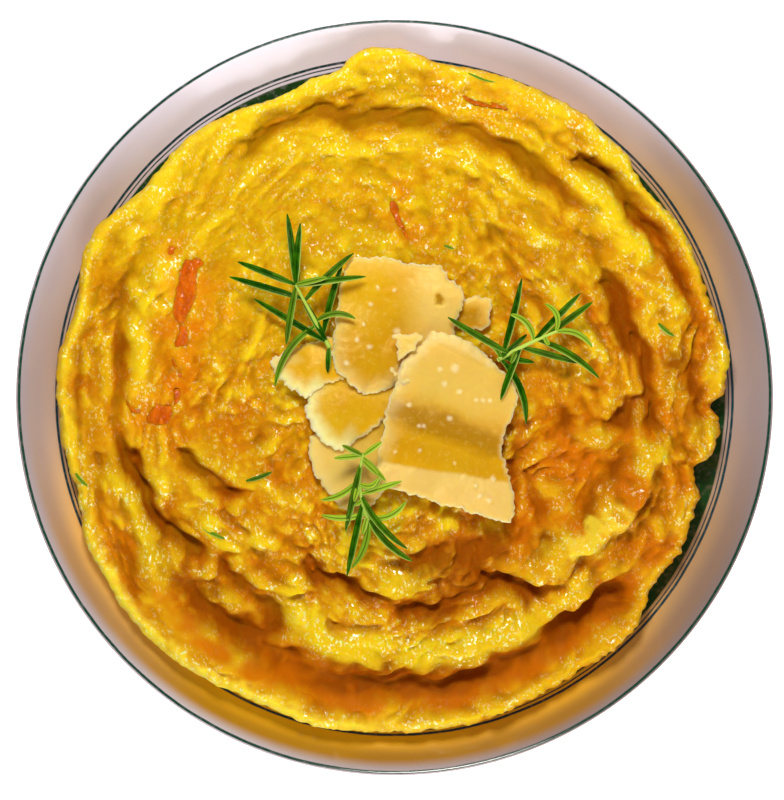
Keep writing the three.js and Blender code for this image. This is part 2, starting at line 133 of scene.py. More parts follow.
# Long folds: direction from and to, radius at each end, half width towards the middle and towards the rim,
# and height, negative for a furrow.
FOLDS = [
    [122, 172, 107, 102.5, 5.5, 9, -6.5],
    [160, 208, 102.5, 106, 7, 8, -6.5],
    [198, 234, 100, 102, 5, 6, -4.5],
    [203, 230, 92, 85, 4, 5, -5],
    [224, 265, 90, 99, 3.5, 3.5, -6],
    [322, 375, 103, 100, 5, 7, -4.5],
    [6, 50, 98, 94, 4, 4, -4],
    [34, 80, 108, 110.5, 3, 4.5, -4.5],
    [58, 82, 86, 87, 4.5, 4.5, -4.5],
    [74, 102, 87, 95, 3.5, 4, -4],
    [264, 286, 98, 101, 3, 3, -3],
    [88, 100, 86, 77, 5, 5, -4],
    [128, 150, 104, 98, 4, 4, -3.5],
    [142, 156, 87, 68, 5, 5, -5],
    [150, 184, 76, 75, 5, 4, -4],
    [178, 212, 72, 66, 4, 4, -3.5],
    [234, 258, 67, 78, 3.5, 3.5, -3],
    [97, 119, 95, 92, 5, 4, 3],
    [114, 131, 92, 81, 5, 4, 4],
    [126, 146, 83, 76, 4.5, 4.5, 3],
    [144, 186, 94, 95, 6, 4, 2],
    [180, 210, 94, 86, 6, 4, 2],
    [36, 64, 102, 103, 5, 3, 2],
    [263, 308, 87, 93, 6, 8, 2],
]

# How crumbly the outline is, by direction.
CRUMBLY_EDGE = [[0, 1], [40, 1.2], [80, 2.2], [130, 2.6], [170, 1.5], [210, 1], [250, 1.2], [290, 0.8]]

# Finer creases, steps and pits: direction and radius at each end, half width towards the middle and towards
# the rim, and height.
CREASES = [
    [38, 107, 45, 109.5, 2, 2, -3], [39, 105, 59, 105, 6, 1.4, 2.5], [41, 107.6, 70, 108.6, 1.4, 3, -3],
    [62, 86, 66, 87, 3, 3, -3], [72, 84, 79, 87, 3, 3, -3.5], [77, 87.5, 95, 94.3, 1.5, 2, -3],
    [49, 88, 60, 88.5, 1.5, 2, -2.5], [28, 64, 45, 64, 1.5, 1.5, -1.8], [50, 60, 60, 60, 1.5, 1.5, -1.8],
    [29, 67.7, 36, 67.7, 1.5, 1.5, -2], [60, 74.5, 75, 77, 2, 2, -2.5],
    [14, 82.5, 20, 82.5, 1.8, 1.8, -2.5], [85, 107, 93, 107, 1.8, 2.5, -4],
    [92.2, 105, 92, 113, 2.5, 2.5, -5], [103.4, 107, 103.6, 112, 2, 2, -5], [96, 111, 102, 111, 5, 5, 2],
    [95.5, 81, 95.5, 88, 4, 4, -3], [90, 91, 100, 92, 2, 2, -3], [100, 94.5, 117, 94.3, 6, 1.5, 2.5],
    [131, 94.3, 135, 103, 2.5, 2.5, -3], [138, 102, 144, 103, 4, 4, -3.5], [132, 88, 140, 90, 2, 2, -3],
    [140, 89, 147, 82, 2, 2, -3], [149, 72, 148, 88, 2.2, 2.2, -3], [133, 75, 137, 75, 3, 3, -3.5],
    [145, 65, 162, 70, 2, 2.5, -3], [152, 74, 178, 79, 2, 3, -3.5], [166, 67, 167, 74, 2, 2, -2.5],
    [150, 59.5, 158, 61, 1.8, 1.8, -2.5], [160, 57, 165, 57, 1.5, 1.5, -2],
    [169, 44, 173, 44, 2.5, 2.5, -2.5], [126, 60, 128, 65, 2.5, 2.5, -2.5],
    [114, 48, 118, 48, 2.5, 3, -2.5], [97, 63, 103, 63, 2.5, 2.5, -2.5],
    [108, 73, 109, 81, 2.2, 2.2, -2.5], [103, 94.3, 113, 94.3, 3, 3, 2.5],
    [113, 93, 127, 82, 2.5, 2.5, 3], [127, 83.5, 141, 81, 2.5, 3, 2.5], [121, 60, 124, 77, 3, 3, 2],
    [167, 103, 186, 104, 3, 3, -2.5], [199, 99, 201, 99, 3, 3, -3], [206, 95, 214, 97, 5, 5, -3],
    [212, 100, 225, 103, 2, 2.5, -3], [217, 83.5, 224, 88, 2.5, 2.5, -3], [229, 89, 239, 94, 1.8, 2, -4],
    [239, 93.5, 258, 96.5, 1.6, 2, -4], [257, 96.5, 265, 100, 1.6, 1.8, -3],
    [225, 83.5, 240, 86.5, 2, 2, -3], [185, 81, 196, 82, 2, 2, -3], [182, 72, 195, 69, 1.6, 1.8, -3],
    [195, 69, 208, 66.5, 1.6, 1.8, -3], [205, 59.5, 222, 63.5, 2, 2, -2], [226, 72, 236, 74, 1.6, 2, -3],
    [238, 67.5, 255, 78, 1.4, 1.8, -3], [228, 49, 256, 52, 1.3, 1.5, -1.4],
    [266, 66.8, 270, 67.2, 1.2, 1.5, -1.5], [257.4, 107, 258.6, 107, 2, 2, -3],
    [265, 111.6, 278, 113.4, 1.5, 1.5, -1.8], [269, 97.4, 285, 100, 1.8, 2, -2.5],
    [280, 112, 290, 112, 1.5, 1.5, -1.2], [290, 103.5, 302, 104.5, 1.6, 1.8, -1.8],
    [330, 101.5, 336, 102.5, 1.6, 1.8, -2], [352, 63, 353, 82, 3, 3, -1.2],
]
# How far the creases stray.
CREASE_WANDER = 3
# The long folds stray by so much, over swells so long.
FOLD_WANDER = [[4.5, 24], [2.6, 10]]

# Height of the crinkles, by direction.
CRINKLE = [
    [0, 1.4], [40, 1.6], [75, 1.9], [105, 2.1], [140, 2.1], [180, 2], [225, 2], [255, 1.8], [285, 1.6],
    [325, 1.35],
]
# Length round the dish, width across it, share of the crinkles' height, sharpness of the creases, and seed.
SWELLS = [[30, 13, 1.15, 0, 1], [20, 9, 1.1, 0.4, 2], [13, 5.6, 1.1, 0.6, 3], [7, 3.2, 0.75, 0.6, 4]]
# Patches where the egg is smooth: direction, radius, reach round the dish and across it, and strength.
SMOOTH = [[150, 107, 40, 7, 0.9], [190, 107, 46, 7, 1], [218, 110, 40, 5, 0.8]]
# Painted shade at the bottom of the moat inside the lip, darker than the rest, laid out likewise.
MOAT = [[150, 102.5, 34, 5, 0.8], [185, 101, 50, 6, 0.9], [222, 100.5, 28, 5, 0.8]]
# The swells lean this way, by so much of their own height, and puff out by so many millimetres.
LEAN_DIRECTION = 158
LEAN = 0.6
PUFF = 0.5

# Tone of the raised edge by direction: 1 is pale with painted light on the lip and -1 is crisp and brown.
EDGE_TONE = [
    [0, 0.1], [40, 0.15], [75, 0.05], [115, -0.1], [130, -0.55], [155, -0.3], [175, 0.4], [200, 0.9],
    [240, 0.9], [252, 0.3], [285, 0.15], [330, 0.2],
]
# Patches where the egg has browned, laid out as the smooth ones are.
BROWNED = [
    [110, 80, 30, 14, 0.7], [128, 66, 22, 12, 0.8], [98, 62, 16, 12, 0.6], [150, 62, 22, 9, 0.7],
    [140, 103, 26, 9, 0.9], [165, 106, 42, 7, 1.3], [195, 107, 42, 6.5, 1.3], [224, 110, 36, 5, 0.9],
    [85, 113, 40, 6, 0.4], [92, 98, 30, 12, 0.6], [120, 92, 40, 14, 0.5], [60, 112, 26, 3, 0.4],
    [72, 60, 12, 12, 0.6], [248, 114, 24, 5, 0.5], [262, 108, 12, 8, 0.4], [205, 96, 18, 8, 0.5],
    [68, 92, 14, 10, 0.4], [118, 108, 30, 7, 0.6], [40, 56, 10, 8, 0.3], [350, 92, 12, 4, 0.3],
]
# Patches of painted light where the egg is brighter, and of painted shade where it lies deep and dark, laid
# out likewise.
BRIGHT = [
    [127, 84, 12, 5, 1.7], [119, 89, 10, 5, 1.2], [141, 93, 10, 4, 0.5], [151, 94, 14, 4.5, 0.9],
    [162, 91, 14, 4, 0.7], [171, 91, 13, 4, 0.8], [183, 87, 10, 4, 0.6], [190, 93, 9, 4, 0.5],
    [204, 85, 11, 5, 0.9], [178, 64, 9, 5, 0.6], [190, 52, 12, 9, 0.8], [183, 38, 12, 8, 0.6],
    [66, 53, 8, 5, 0.7], [78, 62, 12, 8, 0.5], [96, 99, 9, 4, 0.4], [111, 97, 11, 5, 1.1],
    [135, 76, 14, 5, 0.6], [270, 40, 8, 7, 0.7], [315, 64, 14, 5, 0.4], [48, 36, 10, 6, 0.6],
]
DEEP = [
    [8, 101, 9, 3, 0.4], [26, 96, 10, 3, 0.4], [36, 95, 9, 3, 0.4], [41, 108, 7, 3, 0.5],
    [63, 86, 9, 4, 0.6], [74, 85, 8, 4, 0.8], [85, 105, 8, 3, 0.5], [130, 101, 9, 4, 0.6],
    [142, 102, 10, 4, 0.6], [150, 64, 12, 6, 1.1], [163, 60, 14, 6, 1.1], [167, 70, 12, 4, 0.6],
    [203, 64, 8, 3, 0.5], [221, 85, 8, 3.5, 0.5], [223, 96, 12, 4, 0.9], [183, 97, 12, 4, 0.9],
    [84, 100, 7, 4, 0.8], [243, 71, 9, 3.5, 0.5], [253, 95, 10, 3.5, 0.6], [253, 50, 7, 3.5, 0.4],
    [75, 35, 8, 6, 0.4], [107, 42, 12, 7, 0.6], [120, 36, 8, 6, 0.4], [92, 108, 14, 5, 0.6],
    [2, 112, 16, 5, 0.45], [262, 108, 34, 10, 0.22],
]
# How far the egg turns from yellow to orange, by direction.
WARMTH = [[0, 0], [40, 0.25], [80, 0.9], [130, 1], [180, 0.85], [225, 0.7], [270, 0.5], [315, -0.15]]
# Where filling shows through the egg: place, reach and strength.
TINTED = [
    [-73, 38, 9, 0.75], [-75, 24, 8, 0.7], [-74.5, 14, 7, 0.55], [-77, 3, 7, 0.6], [-84, -5, 9, 0.6],
    [-92, -3.5, 6, 0.6], [-79, 52, 3.5, 0.7], [-80, 45.5, 1.5, 0.6], [0, 64, 5, 0.45], [4, 58, 5, 0.35],
    [32, 105, 9, 0.35], [17, 108, 7, 0.3], [44, 103.5, 7, 0.3], [-59, 30, 3.5, 0.4], [64, 97, 3, 0.5],
    [-68, 24, 5, 0.4], [2, 73, 3.5, 0.4],
]
# Of these colours, the crest one is painted light on the raised parts, the two hollow ones painted shade,
# the pale one painted light on the lip and the wet one a painted glint.
EGG = {
    "yellow": (0.69, 0.41, 0.003), "orange": (0.62, 0.19, 0.0012), "light": (0.84, 0.60, 0.003),
    "dark": (0.60, 0.19, 0.001), "crest": (0.88, 0.68, 0.012), "browned": (0.64, 0.165, 0.001),
    "hollow": (0.38, 0.165, 0.0008), "browned hollow": (0.31, 0.066, 0.0006), "pale": (0.97, 0.78, 0.05),
    "stained": (0.80, 0.20, 0.002), "wet": (0.96, 0.95, 0.42),
}

# ---- Filling that shows in the egg: node, slot, and corners of its outline ----
SLICES = [
    ["carrot_slice_long", "carrot", [
        [-73.6, 49.2], [-71.8, 48.2], [-70.4, 49.2], [-68.1, 48.5], [-67.6, 46.5], [-69.6, 45.4],
        [-70.3, 42], [-70.3, 38], [-71, 34], [-72, 31.6], [-73.4, 29], [-74.4, 26.6], [-76, 25.6],
        [-77.8, 27.4], [-78.7, 30], [-78.5, 32.8], [-77.6, 35], [-77.3, 38.5], [-76.7, 41], [-76, 44],
        [-75, 47],
    ]],
    ["carrot_slice_short", "carrot", [
        [-84, -2.4], [-81.5, -3.3], [-79.2, -2.8], [-78.8, -5.5], [-79.6, -9], [-83, -9.8], [-88.2, -9.2],
        [-87.5, -6.2], [-86, -4.2],
    ]],
    ["ham_slice_inner", "ham", [
        [-2, 69], [-1, 69.6], [0.4, 69], [1.4, 67], [1.7, 64.8], [2.8, 62], [3.9, 59.6], [3.6, 58.6],
        [2.3, 59.4], [0.6, 61.4], [-0.4, 63.4], [-1.7, 65.4],
    ]],
    ["ham_slice_outer", "ham", [
        [24, 106.9], [26.8, 106.4], [30.6, 104.6], [34, 104.3], [37.6, 103.6], [41.2, 102.5], [39.8, 101.7],
        [36.4, 102.4], [31, 103.1], [28, 103.6], [25.4, 104.9],
    ]],
]

# Spacing of the slices' mesh, and how far their edges stray.
SLICE_STEP = 0.5
SLICE_CRUMBS = 0.3
# How far the slices stand above the egg, and how far down into it they reach.
SLICE_RISE = 0.15
SLICE_ROOT = 2.4
SLICE = {
    "carrot": (0.74, 0.17, 0.003), "dark carrot": (0.54, 0.09, 0.001),
    "ham": (0.62, 0.13, 0.003), "dark ham": (0.45, 0.07, 0.001), "eggy edge": (0.70, 0.22, 0.003),
}

# Smaller bits of the same filling, by corners.
ORANGE_BITS = [
    [[-76.4, 25.4], [-74, 25], [-73, 22], [-73.2, 18], [-78, 17.6], [-77.4, 20.6], [-76, 22.8]],
    [[-79, 14.2], [-77.8, 13], [-76.6, 10.4], [-78.2, 10.6], [-79, 12]],
    [[-77, 9.2], [-76, 9.4], [-74.8, 7], [-76.2, 6.8]],
    [[-78.4, 2.8], [-76, 3], [-75.8, 0.6], [-77.2, -2.6], [-78.4, -2.8], [-78, 0.2]],
    [[-95.4, -1.6], [-94.4, -1.4], [-92.6, -3.8], [-90, -4.4], [-90.4, -5.8], [-93.6, -5.4]],
    [[-80, 53.4], [-77.4, 53], [-78.2, 50.6], [-80.2, 50.2]],
    [[2.4, 59.4], [4, 58.4], [5.6, 55.4], [4, 55.6]],
]
# Spacing of their mesh, along the edge and inside it, and how far their edges stray.
BIT_RIM_STEP = 0.4
BIT_STEP = 0.45
BIT_CRUMBS = 0.25

# ---- Cheese shavings, the lowest first ----
CHEESE_THICKNESS = 1.5
CHEESE_GAP = 0.4
# How far out from the edge of a shaving the one on top of it starts down, and where it is down.
CHEESE_RAMP = [2, 15]
# Spacing of the mesh, along the edge and inside it.
CHEESE_RIM_STEP = 0.45
CHEESE_STEP = 0.55
# Of these, the two palest edge colours are painted light, a glow and a thin highlight, and the deep gold is
# partly painted shade.
CHEESE = {
    "gold": (0.78, 0.41, 0.003), "pale gold": (0.81, 0.465, 0.008), "deep": (0.46, 0.225, 0.001),
    "peachy": (0.87, 0.57, 0.16), "flakes": (0.90, 0.64, 0.18), "edge": (0.92, 0.72, 0.32),
    "glow": (0.94, 0.86, 0.42), "brim": (0.95, 0.83, 0.5), "crumbly": (0.91, 0.66, 0.30),
    "crystal": (0.93, 0.78, 0.50),
}
# "over" names the shavings that each one lies on. A step is [direction, distance from the middle where it
# starts down, distance where it is down, height]; a curl is [direction, distance where it starts, rise per
# millimetre]; "crumbs" is how far the broken edge strays. The cheese is "peachy" as [direction, distance
# where it is so in full, distance where it no longer is, strength], and deeper gold as [direction, distance,
# reach, strength], which across the right shaving's band is painted shade; its edges have a painted glow
# towards each [direction, strength].
SHAVINGS = {
    "cheese_shaving_far": {
        "over": [], "steps": [], "curls": [], "crumbs": 0.5,
        "peachy": [[270, -34, -29, 0.6], [180, -35, -31, 0.6]], "deep": [[0, 27, 6, 0.85]],
        "glow": [],
        "outline": [[16, 25], [30.7, 23.4], [33.8, 26], [33.8, 34.4], [28, 35.4], [24, 34.2], [16, 33]],
    },
    "cheese_shaving_near": {
        "over": [], "steps": [], "curls": [], "crumbs": 0.6,
        "peachy": [[200, 30, 5, 0.8]], "deep": [[0, -14, 4, 0.3]], "glow": [[245, 0.2]],
        "outline": [
            [-24, -11], [-29.6, -13.6], [-30, -20], [-28.6, -26.4], [-19.5, -38.3], [-11.3, -43.8],
            [-7, -37], [-2, -31], [3, -24], [0, -8], [-12, -5],
        ],
    },
    "cheese_shaving_left_lower": {
        "over": ["cheese_shaving_near"], "steps": [[150, 2, 16, 0.7]], "curls": [], "crumbs": 0.8,
        "peachy": [], "deep": [[0, -3, 7, 0.25]], "glow": [[240, 1]],
        "outline": [
            [-31, 1], [-31.4, -7.1], [-26, -16.2], [-18.6, -18.6], [-11.3, -14.4], [-5.2, -9], [1, -6],
            [3, 2], [-4, 9], [-15.9, 9], [-26, 7],
        ],
    },
    "cheese_shaving_left_upper": {
        "over": ["cheese_shaving_left_lower"], "steps": [], "curls": [], "crumbs": 0.9,
        "peachy": [], "deep": [[225, 14, 6, 0.15]], "glow": [[225, 0.85]],
        "outline": [
            [-43.3, 14], [-42.1, 8.2], [-36.8, 2.9], [-30.2, -0.8], [-27.1, 2.5], [-24.2, 4.4], [-17, 6],
            [-13, 12], [-14, 20], [-22, 21], [-32, 18],
        ],
    },
    "cheese_shaving_top": {
        "over": ["cheese_shaving_far", "cheese_shaving_left_lower", "cheese_shaving_left_upper"],
        "steps": [[180, -26, -8, 1.5]], "curls": [], "crumbs": 0.6,
        "peachy": [[270, -14, 2, 0.8], [180, -50, -38, 0.5]], "deep": [[0, 13, 20, 0.5]],
        "glow": [[215, 0.3]],
        "outline": [
            [-15.4, 48.8], [-3, 48.8], [6.1, 46.4], [16.2, 46], [19.4, 40.5], [23.5, 38.7], [24.3, 33.7],
            [21.8, 26.9], [20, 16], [8, 6], [1.5, 3.6], [-11.3, 0.7], [-19.5, 8.4], [-22.3, 14.8],
            [-21.3, 21.2], [-18.6, 40.5],
        ],
    },
    "cheese_shaving_right": {
        "over": ["cheese_shaving_near", "cheese_shaving_left_lower", "cheese_shaving_top"],
        "steps": [[199, -2, 9, 2.6], [25, 22.4, 23.2, 0.5]], "curls": [[189, 23, 0.33]], "crumbs": 0.5,
        # On this shaving the peachy strip at the near edge is painted light on the curl, and the deepest
        # band across it is painted shade.
        "peachy": [[199, -9, 3, 0.6], [9, -24, -22.6, 0.95], [25, 24.4, 22.8, 0.9]],
        "deep": [[199, 3.2, 6.4, 1.25], [199, 14, 7, 0.42]],
        "glow": [[300, 0.3]],
        "outline": [
            [13.5, 22.6], [21.8, 21.1], [30.9, 15.8], [35.4, 11.1], [41.9, 4.7], [43.2, -2.5], [39.1, -11.7],
            [37.3, -18.1], [40.5, -28.2], [42.3, -39.2], [40.5, -44.2], [16.2, -37.4], [-3, -31],
            [-6.7, -26.4], [-3.9, -11.7], [-3.5, -5.3], [-0.3, 2.9], [2, 12.2], [7, 15.8],
        ],
    },
}
# White crystals in the cheese: place and radius.
CRYSTALS = [
    [15.8, 9.7, 1.0], [21.1, 10.0, 1.7], [17.5, 4.5, 1.0], [22.6, 1.8, 1.0], [28.5, -1.2, 0.8],
    [30.9, -1.2, 0.8], [33.3, -1.2, 0.8], [5.1, -2.8, 0.9], [19.2, -7.5, 1.1], [8.6, -10.1, 0.7],
    [10.3, -10.1, 0.8], [8.9, -18.7, 0.7], [21.1, -23.3, 0.6], [0.1, -19.2, 0.6], [28.5, -31.2, 0.7],
    [29.8, -34.6, 0.9], [33.1, -36.3, 1.0], [34.6, -28.8, 1.0], [-6.0, 38.3, 0.7], [-0.2, 37.2, 0.7],
    [-8.2, 32.3, 0.8], [-10.8, 25.4, 0.8], [-13.1, 19.9, 1.0], [-8.6, 17.5, 1.0], [0.9, 23.0, 1.3],
    [-16.8, 11.7, 1.1],
]
# Holes in the top shaving: place and radius. The cheese dips there and is painted in shade.
CHEESE_HOLES = {"cheese_shaving_top": [[15.7, 33.7, 1.7], [15.4, 35, 1.2]]}
# Crumbs of the same cheese lying on the rest.
CRUMBS = [
    [
        [-0.2, 20.8], [1.8, 22], [4.9, 21.9], [8, 21.8], [10.4, 20.8], [8.3, 19.6], [7.9, 16.8], [5.6, 15.2],
        [3.6, 13], [1.2, 12.6], [0.5, 15.2], [1.2, 18.2],
    ],
    [[-1.4, 9.6], [-0.4, 10.5], [0.4, 9.4], [0.9, 7.8], [0, 7], [-0.9, 7.9]],
    [[1.7, 6.6], [3, 6.9], [5.4, 5.4], [5.8, 4.6], [3.2, 4.4], [2, 5.4]],
]
# Spacing of their mesh, along the edge and inside it, how far their edges stray, and their clearance.
CRUMB_RIM_STEP = 0.35
CRUMB_STEP = 0.4
CRUMB_EDGE = 0.8
CRUMB_CLEARANCE = 0.1
# Where the cheese is crumbly: place and reach.
CRUMBLY = [
    [1, 5, 2.2], [2.6, 9.5, 2.4], [5.6, 13.4, 2.4], [9, 16.4, 2.4], [12.6, 20.2, 2.4], [17, 20.6, 1.7],
    [21, 19.6, 1.9], [25, 17.6, 1.7], [29, 15.2, 1.8], [33, 11.8, 1.5],
]

# ---- Rosemary ----
NEEDLE_WIDTH = 2.5
NEEDLE_RINGS = 14
# How far needles and stems keep above what lies below them, and how high needles arch for their length.
NEEDLE_CLEARANCE = 0.8
NEEDLE_ARCH = 0.1
# Most degrees that a needle is rolled either way.
NEEDLE_ROLL = 14
LOOSE_ROLL = 10
# Across and up from the middle of a needle, in half widths: rolled edges, a groove along the top, and the
# underside.
NEEDLE_SECTION = [
    [1, -0.1], [0.93, 0.14], [0.66, 0.34], [0.3, 0.34], [0.08, 0.2], [-0.08, 0.2], [-0.3, 0.34],
    [-0.66, 0.34], [-0.93, 0.14], [-1, -0.1], [-0.72, -0.24], [-0.2, -0.14], [0.2, -0.14], [0.72, -0.24],
]
# Share of a needle's length and of its full width there.
NEEDLE_TAPER = [[0, 0.42], [0.08, 0.62], [0.25, 0.94], [0.55, 1], [0.8, 0.82], [0.93, 0.5], [1, 0.16]]
STEM_RINGS = 25
STEM_SIDES = 8
# Half the stem's thickness at its foot and at its tip.
STEM_GIRTH = [0.85, 0.5]
# How young and pale the stems are.
STEM_YOUTH = {"rosemary_sprig_left": 0.75, "rosemary_sprig_right": 1, "rosemary_sprig_near": 0.75}
# The groove colour is painted shade along the needle's groove.
LEAF = {
    "dark": (0.005, 0.055, 0.0003), "green": (0.035, 0.15, 0.0006), "young": (0.36, 0.55, 0.03),
    "groove": (0.003, 0.03, 0.0004), "margin": (0.60, 0.80, 0.16), "underside": (0.36, 0.50, 0.08),
}
# Stem from foot to tip with a sideways bow, heights above the crown. Each needle starts at a share of the
# stem, then has its direction, length from above, height of its tip, sideways bow and how young it is.
SPRIGS = [
    ["rosemary_sprig_left", [-22.6, 17, 4], [-34.4, 38.9, 10], 0, [
        [1, 353, 25, 7, 0.02, 0], [0.98, 4, 21.8, 10, -0.02, 0], [1, 292, 22, 6, 0, 0],
        [0.78, 287, 27.3, 3, 0, 0], [0.74, 45, 24, 5, -0.05, 0.1], [0.98, 82, 24.3, 7, -0.02, 0.1],
        [1, 78, 11.5, 12, 0, 0.5], [0.2, 15, 26, 4, -0.04, 0], [0.98, 190, 20.5, 6, 0.02, 0.2],
        [0.37, 215, 26, 1, 0.24, 0.3], [0.42, 86, 14, 8, -0.32, 0.3], [0.09, 301, 30, 2, 0, 0],
        [0.1, 331, 18, 5, 0, 0], [0.02, 183, 9, 4, 0, 0], [0.95, 358, 17, 5, 0, 0.2],
    ]],
    ["rosemary_sprig_right", [36.2, 12.9, 4], [56.7, 22.9, 9], -0.04, [
        [0.07, 14, 28.5, 5, 0.02, 0], [0.2, 300, 25, 8, -0.03, 0.1], [0.61, 44, 23, 9, 0, 0],
        [0.82, 54, 20, 6, 0, 0.1], [0.97, 336, 10.4, 13.2, 0.46, 0.9], [0.96, 112, 14, 7, -0.33, 0.8],
        [0.61, 316, 12.7, 13, 0.36, 0.8], [0.66, 121, 26, 2, -0.13, 0.1], [0.4, 105, 21, 3, 0, 0.1],
        [0.39, 201, 19.5, 6, 0.03, 0], [0.04, 158, 24.5, 2, -0.2, 0], [0.04, 312, 8.5, 6, 0.36, 0.3],
        [0.07, 98, 11.5, 2, 0, 0], [0.33, 205, 5.4, 7, 0, 0.4], [0.03, 48, 12.8, 4, 0, 0],
        [0.8, 155, 3.4, 9, 0.3, 0.9],
    ]],
    ["rosemary_sprig_near", [-8.9, -43.1, 3], [-10.7, -19.4, 9], -0.2, [
        [0.96, 54, 8.2, 13, 0, 1], [0.96, 265, 10, 11, 0, 0.8], [0.94, 136, 11.5, 9, 0, 0.7],
        [0.53, 74, 7.5, 9, 0.5, 0.9], [0.62, 241, 15.5, 4, -0.22, 0.8], [0.39, 72, 15, 8, 0, 0.9],
        [0.85, 193, 24.5, 3, 0, 0.1], [0.1, 268, 15.7, 4, -0.17, 0.9], [0.26, 192, 26.4, 1, 0, 0],
        [0.03, 66, 14.5, 5, 0.32, 0.9], [0.4, 140, 25.4, 3, 0.15, 0.1], [0.04, 135, 22, 1, 0.15, 0.1],
        [0.03, 198, 18.5, 1, -0.2, 0.5], [0.02, 152, 7.5, 1, 0, 0.6], [0.96, 297, 8, 12, 0, 0.4],
        [0.9, 133, 8, 11, 0, 0.8], [0.58, 195, 7.2, 8, 0, 0.8], [0.55, 70, 7, 11, 0.55, 1],
        [0.3, 235, 3, 7, 0, 0.9], [0.06, 195, 6.6, 5, 0, 0.8],
    ]],
]
# Needles lying loose on the egg or baked into it: one end, the other end, and width.
LOOSE_NEEDLES = [[[-52.3, -29.6], [-43.2, -26.4], 1.7]]
BAKED_NEEDLES = [
    [[-67.5, -46.7], [-60.2, -50.2], 1.5],
    [[-113, -27], [-109, -31.7], 1.4],
    [[17.5, 53.6], [21, 52.3], 1.1],
    [[26.1, 114.4], [35.6, 111.4], 0.9],
    [[93.6, 26.1], [99.3, 21.5], 1.8],
]
# Name, needles, clearance above the egg, share of a needle's usual depth, and how young it is.
LOOSE_BITS = [
    ["loose_needle", LOOSE_NEEDLES, 0.5, 1, 0.15],
    ["baked_needles", BAKED_NEEDLES, 0.15, 0.7, 0.45],
]
LOOSE_BOW = 0.08
LOOSE_RINGS = 8


# ---- Numbers ----
def ease(low, high, x):
    """0 below low, 1 above high, and a smooth way between."""
    t = np.clip((np.asarray(x, float) - low) / (high - low), 0, 1)
    return t * t * (3 - 2 * t)


def mix(a, b, t):
    return a + (b - a) * t


def around(stops, direction):
    """The value at a direction from a list of [direction, value] that closes on itself."""
    turns, values = np.array(stops + [[stops[0][0] + 360, stops[0][1]]], float).T
    turned = (direction - turns[0]) % 360 + turns[0]
    k = np.clip(np.searchsorted(turns, turned, side="right") - 1, 0, len(turns) - 2)
    return mix(values[k], values[k + 1], ease(0, 1, (turned - turns[k]) / (turns[k + 1] - turns[k])))


def place(direction, radius):
    """Across and up from the middle, for a direction and a distance."""
    turn = np.radians(direction)
    return radius * np.sin(turn), radius * np.cos(turn)


def direction_of(x, y):
    """The direction in which a point lies from the middle."""
    return np.degrees(np.arctan2(x, y))


def turn_from(start, direction):
    """Degrees clockwise from the start to a direction, from -180 to 180."""
    return (direction - start + 540) % 360 - 180


def distance_along(direction, x, y):
    """How far a point lies from the middle, as measured in one direction."""
    east, north = place(direction, 1)
    return x * east + y * north


SHUFFLE = DICE.permutation(256)
LEANINGS = DICE.normal(size=(256, 3))
LEANINGS /= np.linalg.norm(LEANINGS, axis=1)[:, None]


def ripple(points, seed):
    """Smooth noise, about -1 to 1, at each point; one swell is one unit long, and each seed differs."""
    points = points + seed * np.array([17.3, 31.7, 47.1])
    cell = np.floor(points).astype(int)
    local = points - cell
    blend = local**3 * (local * (local * 6 - 15) + 10)
    total = np.zeros(points.shape[:-1])
    for corner in itertools.product((0, 1), repeat=3):
        weight = np.prod(np.where(corner, blend, 1 - blend), axis=-1)
        key = (cell + corner) & 255
        pick = SHUFFLE[(SHUFFLE[(SHUFFLE[key[..., 0]] + key[..., 1]) & 255] + key[..., 2]) & 255]
        total += weight * np.sum(LEANINGS[pick] * (local - corner), axis=-1)
    return 1.7 * total


def flat_ripple(x, y, size, seed):
    """Noise over the dish, with swells of one size."""
    return ripple(np.stack([x / size, y / size, np.zeros_like(x)], axis=-1), seed)


def round_ripple(direction, radius, along, across, seed):
    """Noise whose swells are so long round the dish and so wide across it."""
    x, y = place(direction, MEAN_RADIUS / along)
    return ripple(np.stack([x, y, radius / across], axis=-1), seed)


def edge_ripple(direction, along, seed):
    """Noise that changes only round the dish."""
    return round_ripple(direction, np.zeros_like(direction), along, 1, seed)


def distance_to(outline, x, y):
    """Distance from each point to a closed outline, negative inside it."""
    nearest = np.full(np.shape(x), np.inf)
    inside = np.zeros(np.shape(x), bool)
    for (ax, ay), (bx, by) in zip(outline, [*outline[1:], outline[0]]):
        ex, ey = bx - ax, by - ay
        along = np.clip(((x - ax) * ex + (y - ay) * ey) / (ex * ex + ey * ey), 0, 1)
        nearest = np.minimum(nearest, np.hypot(x - ax - along * ex, y - ay - along * ey))
        if ey != 0:
            inside ^= ((ay > y) != (by > y)) & (x < ax + ex * (y - ay) / ey)
    return np.where(inside, -nearest, nearest)


# ---- Meshes ----
def make_piece(name, points, faces, material, **masks):
    """A mesh object from points in millimetres, with a number at each point for every named mask."""
    mesh = bpy.data.meshes.new(name)
    mesh.from_pydata((np.asarray(points, float) * MM).tolist(), [], faces)
    mesh.validate()
    mesh.shade_smooth()
    for mask, values in masks.items():
        layer = mesh.attributes.new(mask, "FLOAT", "POINT")
        layer.data.foreach_set("value", np.asarray(values, np.float32))
    mesh.materials.append(material)
    piece = bpy.data.objects.new(name, mesh)
    bpy.context.scene.collection.objects.link(piece)
    return piece


def band(upper, lower):
    """Faces between two closed loops of point numbers that turn anticlockwise seen from above."""
    following = np.roll(np.arange(len(upper)), -1)
    return np.stack([upper, lower, lower[following], upper[following]], axis=1).tolist()


def add_to_dish(piece, node):
    """Fixes a piece to the dish in place of a node of the CAD."""
    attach(piece, "root")
    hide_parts(node)


